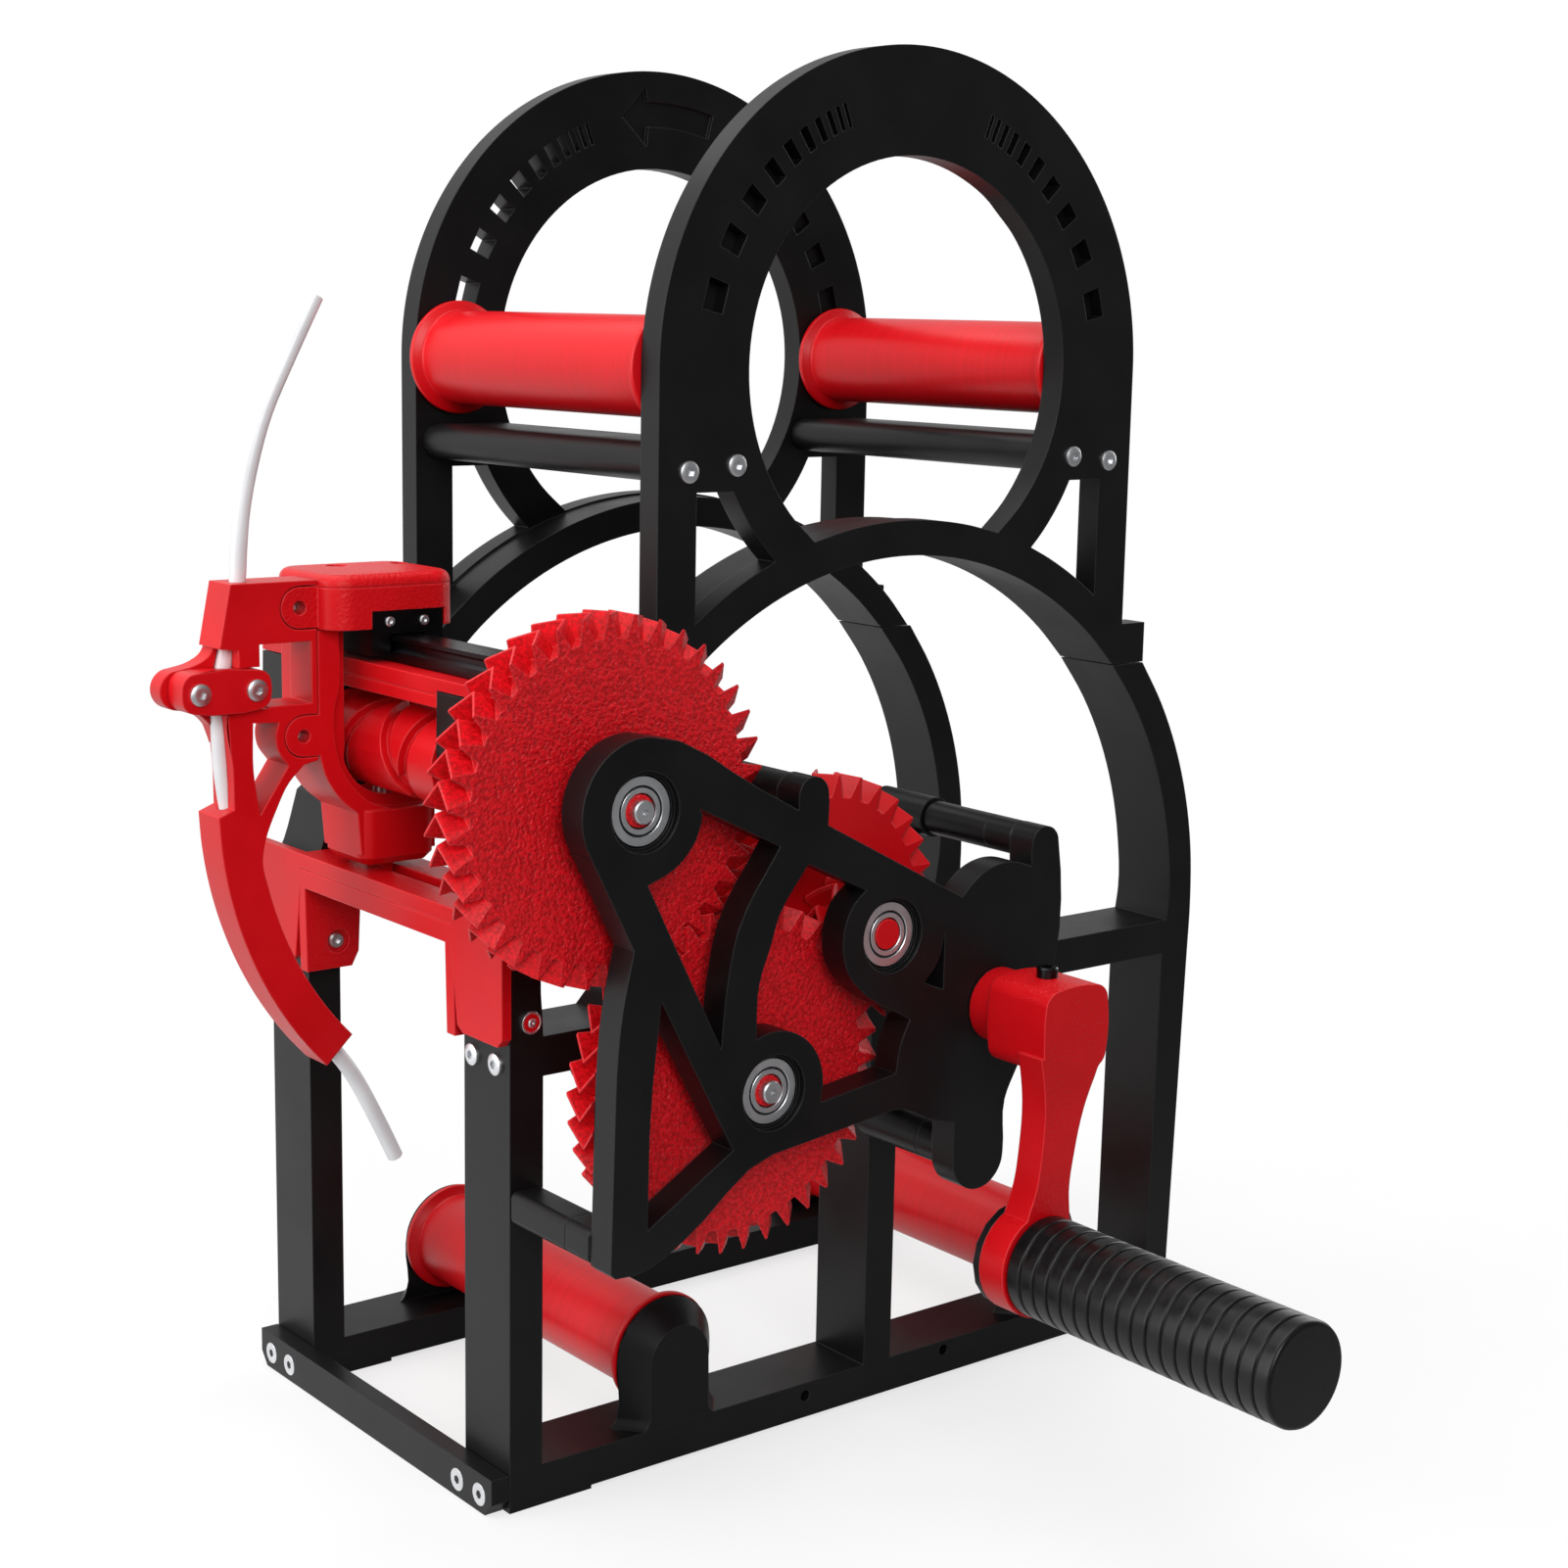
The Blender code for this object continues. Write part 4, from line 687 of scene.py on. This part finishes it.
def rollerProfile():
    end, lip, flange, radius = (roller[key] for key in ("reach", "lip", "flange", "radius"))
    half = [(end, roller["bore"]), (end, flange - 0.7), (end - 0.2, flange - 0.2),
            (end - 0.7, flange), (end - lip + 1.5, flange), (end - lip + 1.1, flange - 0.3),
            (end - lip + 0.3, radius + 0.5), (end - lip - 0.5, radius)]
    return [(-y, r) for y, r in half] + [(y, r) for y, r in reversed(half)]


for side, axis in rollerSpots.items():
    finishPiece(shade(turned(side + "Roller", rollerProfile(), axis, bored=True), 40.0),
                "redBrushed", side + "_roller", "red_plastic", side + "_roller")
print("rollers turned")

# grip
grip = {"near": -209.3, "far": -128.0, "radius": 12.4, "ribs": 18, "groove": 0.55,
        "depth": 0.55, "pivot": (-11.973, 60.622)}


def gripSleeve():
    length = grip["far"] - grip["near"]
    pitch = length / grip["ribs"]
    radius, half = grip["radius"], grip["groove"] / 2
    profile = [(grip["near"], radius - 1.2), (grip["near"] + 0.35, radius - 0.35),
               (grip["near"] + 1.2, radius)]
    for k in range(1, grip["ribs"]):
        y = grip["near"] + pitch * k
        profile += [(y - half - 0.5, radius), (y - half, radius - 0.2),
                    (y - half / 2, radius - grip["depth"]),
                    (y + half / 2, radius - grip["depth"]), (y + half, radius - 0.2),
                    (y + half + 0.5, radius)]
    profile += [(grip["far"] - 0.6, radius), (grip["far"], radius - 0.6)]
    return shade(turned("gripSleeve", profile, grip["pivot"]), 50.0)


finishPiece(gripSleeve(), "gripRubber", "handle", "grip_rubber", "handle_grip")

# bearings and screws, repeated on points

def circle(radius, height, steps=24):
    return [(radius * math.cos(2 * math.pi * k / steps), radius * math.sin(2 * math.pi * k / steps),
             height) for k in range(steps)]


def hexagon(radius, height, steps=24):  # as many points as the rings around it
    ring = []
    for k in range(steps):
        turn = 2 * math.pi * k / steps
        inside = (turn % (math.pi / 3)) - math.pi / 6
        reach = radius * math.cos(math.pi / 6) / math.cos(inside)
        ring.append((reach * math.cos(turn), reach * math.sin(turn), height))
    return ring


screw = {
    "button": {"profile": ((0.0027, -0.0002), (0.0027, 0.0005), (0.00262, 0.0007),
                           (0.0022, 0.00095), (0.0016, 0.00105), (0.0014, 0.00106)),
               "socket": 0.0011, "depth": 0.0009},
    "flat": {"profile": ((0.0029, -0.0006), (0.0029, -0.0001), (0.00275, 0.0001),
                         (0.0017, 0.00012)), "socket": 0.00115, "depth": 0.0012},
    "end": {"profile": ((0.0027, -0.0003), (0.0027, 0.0018), (0.0024, 0.0021), (0.0013, 0.00215)),
            "socket": 0.0008, "depth": 0.0012},
    "cap": {"profile": ((0.0026, -0.001), (0.0026, 0.0026), (0.0023, 0.003), (0.0017, 0.003)),
            "socket": 0.0013, "depth": 0.0015},
    "tiny": {"profile": ((0.0013, -0.0002), (0.0013, 0.0003), (0.001, 0.0006),
                         (0.0008, 0.0006)), "socket": 0.00055, "depth": 0.0005},
}
ferrule = ((0.0022, -0.0002), (0.0027, -0.0002), (0.0027, 0.0009), (0.0026, 0.001),
           (0.0023, 0.001), (0.0022, 0.0009))
# a black ring down in each bearing's groove, painted shade that keeps the groove dark
grooveShade = ((5.2, 2.6), (5.8, 2.6), (5.8, 3.6), (5.2, 3.6))
race = ((4.0, 2.0), (4.15, 1.85), (5.15, 1.85), (5.25, 1.95), (5.25, 3.4), (5.75, 3.4),
        (5.75, 1.95), (5.9, 1.8), (7.7, 1.8), (7.88, 2.0), (7.88, 4.8), (7.7, 5.0), (4.2, 5.0),
        (4.0, 4.8))


def screwPart(kind):
    sizes = screw[kind]
    top = sizes["profile"][-1][1]
    rings = [circle(radius, height) for radius, height in sizes["profile"]]
    rings += [hexagon(sizes["socket"], top), hexagon(sizes["socket"], top - sizes["depth"])]
    return ringsToMesh(kind + "Screw", rings)


# copies of one part on points, turned to each point's facing
def scatterTree():
    tree = bpy.data.node_groups.new("partsOnPoints", "GeometryNodeTree")
    face = tree.interface
    for name, kind in (("Points", "Geometry"), ("Part", "Object"), ("Size", "Float"),
                       ("Spin", "Float"), ("Seed", "Int"), ("Finish", "Material")):
        face.new_socket(name=name, in_out="INPUT", socket_type="NodeSocket" + kind)
    face.new_socket(name="Parts", in_out="OUTPUT", socket_type="NodeSocketGeometry")
    node = {}
    for key, kind in (("given", "NodeGroupInput"), ("points", "GeometryNodeMeshToPoints"),
                      ("part", "GeometryNodeObjectInfo"),
                      ("facing", "GeometryNodeInputNamedAttribute"),
                      ("turn", "FunctionNodeAlignRotationToVector"),
                      ("random", "FunctionNodeRandomValue"),
                      ("spin", "FunctionNodeRotateRotation"),
                      ("axis", "FunctionNodeAxisAngleToRotation"),
                      ("copies", "GeometryNodeInstanceOnPoints"),
                      ("real", "GeometryNodeRealizeInstances"),
                      ("paint", "GeometryNodeSetMaterial"), ("made", "NodeGroupOutput")):
        node[key] = tree.nodes.new(kind)
    node["facing"].data_type = "FLOAT_VECTOR"
    node["facing"].inputs["Name"].default_value = "facing"
    node["turn"].axis = "Z"
    node["spin"].rotation_space = "LOCAL"
    given = node["given"].outputs
    link(tree, given["Points"], node["points"].inputs["Mesh"])
    link(tree, given["Part"], node["part"].inputs["Object"])
    link(tree, node["facing"].outputs["Attribute"], node["turn"].inputs["Vector"])
    link(tree, given["Seed"], node["random"].inputs["Seed"])
    link(tree, given["Spin"], node["random"].inputs[3])
    link(tree, node["random"].outputs[1], node["axis"].inputs["Angle"])
    link(tree, node["turn"].outputs["Rotation"], node["spin"].inputs["Rotation"])
    link(tree, node["axis"].outputs["Rotation"], node["spin"].inputs["Rotate By"])
    link(tree, node["points"].outputs["Points"], node["copies"].inputs["Points"])
    link(tree, node["part"].outputs["Geometry"], node["copies"].inputs["Instance"])
    link(tree, node["spin"].outputs["Rotation"], node["copies"].inputs["Rotation"])
    link(tree, given["Size"], node["copies"].inputs["Scale"])
    link(tree, node["copies"].outputs["Instances"], node["real"].inputs["Geometry"])
    link(tree, node["real"].outputs["Geometry"], node["paint"].inputs["Geometry"])
    link(tree, given["Finish"], node["paint"].inputs["Material"])
    link(tree, node["paint"].outputs["Geometry"], node["made"].inputs["Parts"])
    return tree


partsOnPoints = scatterTree()


# spots are ((x, y, z) in workshop millimetres, facing)
def scatter(name, part, spots, body, finish, slot, size=1.0, spin=6.0, seed=3, nodes=()):
    mesh = bpy.data.meshes.new(name)
    mesh.from_pydata([place(*spot) for spot, _ in spots], [], [])
    facing = mesh.attributes.new("facing", "FLOAT_VECTOR", "POINT")
    for k, (_, way) in enumerate(spots):
        facing.data[k].vector = way
    made = bpy.data.objects.new(name, mesh)
    bpy.context.scene.collection.objects.link(made)
    repeat = made.modifiers.new("repeat", "NODES")
    repeat.node_group = partsOnPoints
    values = {"Part": part, "Size": size, "Spin": spin, "Seed": seed, "Finish": finishes[finish]}
    for item in partsOnPoints.interface.items_tree:
        if item.in_out == "INPUT" and item.name in values:
            repeat[item.identifier] = values[item.name]
    return finishPiece(shade(settle(made), 28.0), finish, body, slot, *nodes)


front, left, up, back = (0, -1, 0), (-1, 0, 0), (0, 0, 1), (0, 1, 0)
nearFace, farFace = -sideFrame["face"], sideFrame["face"]
frontBearings = [((x, seat["face"], z), front) for x, z in axles.values()]
rearBearings = [((axles[key][0], nearFace, axles[key][1]), front)
                for key in ("second", "idler", "crank", "cam")]
rearBearings += [((axles["cam"][0], farFace, axles["cam"][1]), back)]


def bearingRing(name, profile):  # the profile is (radius, depth) in millimetres
    return ringsToMesh(name, [circle(radius * 0.001, -depth * 0.001, 64)
                              for radius, depth in profile], closed=True)


bearingPart = bearingRing("bearingPart", race)
scatter("bearings", bearingPart, frontBearings + rearBearings, "frame", "steel", "steel",
        spin=0.0, nodes=[key + "_bearing" for key in
                         ("cam_front", "second_front", "idler_front", "crank_front",
                          "second_rear", "idler_rear", "crank_rear", "drum_near", "drum_far")])
# black rings in the bearing grooves: painted shade
sealPart = bearingRing("sealPart", grooveShade)
scatter("bearingSeals", sealPart, frontBearings + rearBearings, "frame", "blackSatin",
        "black_plastic", spin=0.0)
ferrulePart = ringsToMesh("ferrulePart", [circle(r, h, 48) for r, h in ferrule], closed=True)
buttonPart, flatPart = screwPart("button"), screwPart("flat")
capPart, tinyPart, endPart = screwPart("cap"), screwPart("tiny"), screwPart("end")

ringScrews = [((x, face, z), way) for face, way in ((nearFace, front), (farFace, back))
              for x, z in ((-69.3, 247.2), (-55.2, 248.5), (56.6, 248.5), (69.8, 247.2))]
postScrews = [((-118.6, side * y, 110.4), left) for side in (-1, 1) for y in (42.3, 52.5)]
barScrews = [((-123.75, side * y, 4.4), left) for side in (-1, 1) for y in (42.8, 52.8)]
barScrews += [((113.0, side * y, 5.0), (1, 0, 0)) for side in (-1, 1) for y in (42.8, 52.8)]
scatter("frameScrews", buttonPart, ringScrews + postScrews, "frame", "steel", "steel")
scatter("crossbarScrews", flatPart, barScrews, "frame", "steel", "steel", seed=5)
scatter("cheekScrews", tinyPart, [((cheek["spot"][0], side * (cheek["face"] + cheek["depth"]),
                                    cheek["spot"][1]), (0, -side, 0)) for side in (-1, 1)],
        "frame", "steel", "steel", size=1.7, seed=6)
scatter("clampScrews", buttonPart, [((-164.0, 4.4, 193.7), front), ((-149.4, 4.4, 193.8), front)],
        "carriage", "steel", "steel", seed=7)
scatter("blockScrews", tinyPart, [((-114.9, 1.5, 208.5), front), ((-105.3, 1.5, 208.4), front),
                                  ((-114.9, 30.5, 208.5), back), ((-105.3, 30.5, 208.4), back)],
        "carriage", "steel", "steel", seed=9)
scatter("lugScrews", tinyPart, [((-136.6, 10.6, 212.5), front), ((-135.9, 10.6, 181.2), front)],
        "carriage", "steel", "steel", size=0.9, seed=8)
scatter("hubScrew", capPart, [((-3.5, -117.0, 128.0), up)], "crank", "darkSteel", "steel", seed=4)
for key, body in (("cam", "cam"), ("idler", "idler_wheel")):
    x, z = axles[key]
    scatter(key + "EndScrew", endPart, [((x, seat["face"] + shaftEnd[key], z), front)], body,
            "steel", "steel", seed=11)

# red plug in a silver ferrule on each post that carries the guide bar
plug = {"spot": (-113.1, 121.0), "radius": 2.2, "proud": 0.8, "sink": 0.2}
for label, side in (("near", -1), ("far", 1)):
    x, z = plug["spot"]
    face, way = side * sideFrame["face"], (0, side, 0)
    top = face + side * plug["proud"]
    scatter(label + "Ferrule", ferrulePart, [((x, face, z), way)], "frame", "steel", "steel",
            spin=0.0)
    scatter(label + "PlugScrew", tinyPart, [((x, top, z), way)], "frame", "steel", "steel",
            size=0.85)
    profile = [(face - side * plug["sink"], plug["radius"]), (top, plug["radius"])]
    finishPiece(shade(turned(label + "Plug", profile, plug["spot"], 48)), "redSatin", "frame",
                "red_plastic")

for part in (bearingPart, sealPart, endPart, ferrulePart, buttonPart, flatPart, capPart, tinyPart):
    bpy.data.objects.remove(part, do_unlink=True)
print("hardware placed")

# camera: the photograph's viewpoint
view = {"yaw": 38.70, "pitch": 10.33, "roll": 1.12, "lens": 2641.7 / 1601 * 36, "sensor": 36.0,
        "spot": (-431.46, -548.49, 284.46)}


def setCamera():
    yaw, pitch, roll = (math.radians(view[key]) for key in ("yaw", "pitch", "roll"))
    ahead = Vector((math.sin(yaw) * math.cos(pitch), math.cos(yaw) * math.cos(pitch),
                    -math.sin(pitch)))
    across = Vector((math.cos(yaw), -math.sin(yaw), 0.0))
    above = across.cross(ahead)
    right = math.cos(roll) * across + math.sin(roll) * above
    upright = -math.sin(roll) * across + math.cos(roll) * above
    turn = Matrix((right, upright, -ahead)).transposed().to_4x4()
    data = bpy.data.cameras.new("photoView")
    data.lens = view["lens"]
    data.sensor_width = view["sensor"]
    camera = bpy.data.objects.new("photoView", data)
    camera.matrix_world = Matrix.Translation(place(*view["spot"])) @ turn
    bpy.context.scene.collection.objects.link(camera)
    bpy.context.scene.camera = camera


setCamera()

# light, floor and background
studio = {
    "left": {"spot": (-1.3, 0.35, 0.55), "size": (1.1, 1.1), "watts": 13.0},
    "top": {"spot": (-0.2, 0.25, 1.35), "size": (1.3, 1.3), "watts": 13.0},
    "front": {"spot": (-0.75, -1.35, 0.95), "size": (0.9, 0.9), "watts": 16.0},
    "right": {"spot": (1.3, 0.3, 0.6), "size": (1.0, 1.0), "watts": 8.0},
}
backdrop = {"way": (-0.55, 0.83, 0.0), "dim": 0.2, "bright": 1.0, "diffuse": 0.25,
            "floorHalf": 0.45, "floorDrop": 0.0002, "floorReach": (0.2, 0.42), "paperShine": 0.7,
            "aim": (0.0, 0.03, 0.17)}


def areaLight(name, spot, size, watts):
    data = bpy.data.lights.new(name, "AREA")
    data.shape = "RECTANGLE"
    data.size, data.size_y = size
    data.energy = watts
    lamp = bpy.data.objects.new(name, data)
    lamp.location = spot
    aim = Vector(backdrop["aim"]) - Vector(spot)
    lamp.rotation_euler = aim.to_track_quat("-Z", "Y").to_euler()
    bpy.context.scene.collection.objects.link(lamp)


for name, kind in studio.items():
    areaLight(name + "Light", **kind)


# pale paper near the winder that runs out into the plain background
def whiteFloor():
    mesh = bpy.data.meshes.new("floor")
    size = backdrop["floorHalf"]
    mesh.from_pydata([(-size, -size, 0), (size, -size, 0), (size, size, 0), (-size, size, 0)],
                     [], [(0, 1, 2, 3)])
    floor = bpy.data.objects.new("floor", mesh)
    bpy.context.scene.collection.objects.link(floor)
    floor.location.z = -backdrop["floorDrop"]
    finish, tree, shader, where = newFinish("floorPaper", (0.88, 0.88, 0.88), 0.9, specular=0.1)
    reach = tree.nodes.new("ShaderNodeVectorMath")
    reach.operation = "LENGTH"
    link(tree, where, reach.inputs[0])
    fade = spread(tree, reach.outputs["Value"], backdrop["paperShine"], 1.0,
                  *backdrop["floorReach"])
    plain = tree.nodes.new("ShaderNodeEmission")
    plain.inputs["Color"].default_value = (1.0, 1.0, 1.0, 1.0)
    path = tree.nodes.new("ShaderNodeLightPath")
    seen = calculate(tree, "MAXIMUM", path.outputs["Is Camera Ray"],
                     path.outputs["Is Transmission Ray"])
    through = tree.nodes.new("ShaderNodeBsdfTransparent")
    beyond = tree.nodes.new("ShaderNodeMixShader")
    link(tree, seen, beyond.inputs["Fac"])
    link(tree, through.outputs["BSDF"], beyond.inputs[1])
    link(tree, plain.outputs["Emission"], beyond.inputs[2])
    mix = tree.nodes.new("ShaderNodeMixShader")
    link(tree, fade, mix.inputs["Fac"])
    link(tree, shader.outputs["BSDF"], mix.inputs[1])
    link(tree, beyond.outputs["Shader"], mix.inputs[2])
    link(tree, mix.outputs["Shader"], tree.nodes["Material Output"].inputs["Surface"])
    floor.data.materials.append(finish)


# white behind the object and in its gloss from the back left, dim where the front faces mirror
def skyWorld():
    world = bpy.data.worlds.new("studio")
    bpy.context.scene.world = world
    world.use_nodes = True
    tree = world.node_tree
    coords = tree.nodes.new("ShaderNodeTexCoord")
    toward = tree.nodes.new("ShaderNodeVectorMath")
    toward.operation = "DOT_PRODUCT"
    link(tree, coords.outputs["Generated"], toward.inputs[0])
    toward.inputs[1].default_value = backdrop["way"]
    glow = spread(tree, toward.outputs["Value"], backdrop["dim"], backdrop["bright"], -0.25, 0.8)
    path = tree.nodes.new("ShaderNodeLightPath")
    gloss = calculate(tree, "MULTIPLY", path.outputs["Is Glossy Ray"], glow)
    soft = calculate(tree, "MULTIPLY", path.outputs["Is Diffuse Ray"], backdrop["diffuse"])
    seen = calculate(tree, "MAXIMUM", path.outputs["Is Camera Ray"],
                     path.outputs["Is Transmission Ray"])
    strength = calculate(tree, "MAXIMUM", seen, calculate(tree, "MAXIMUM", gloss, soft))
    sky = tree.nodes["Background"]
    sky.inputs["Color"].default_value = (1.0, 1.0, 1.0, 1.0)
    link(tree, strength, sky.inputs["Strength"])


whiteFloor()
skyWorld()
bpy.context.scene.view_settings.view_transform = "Standard"
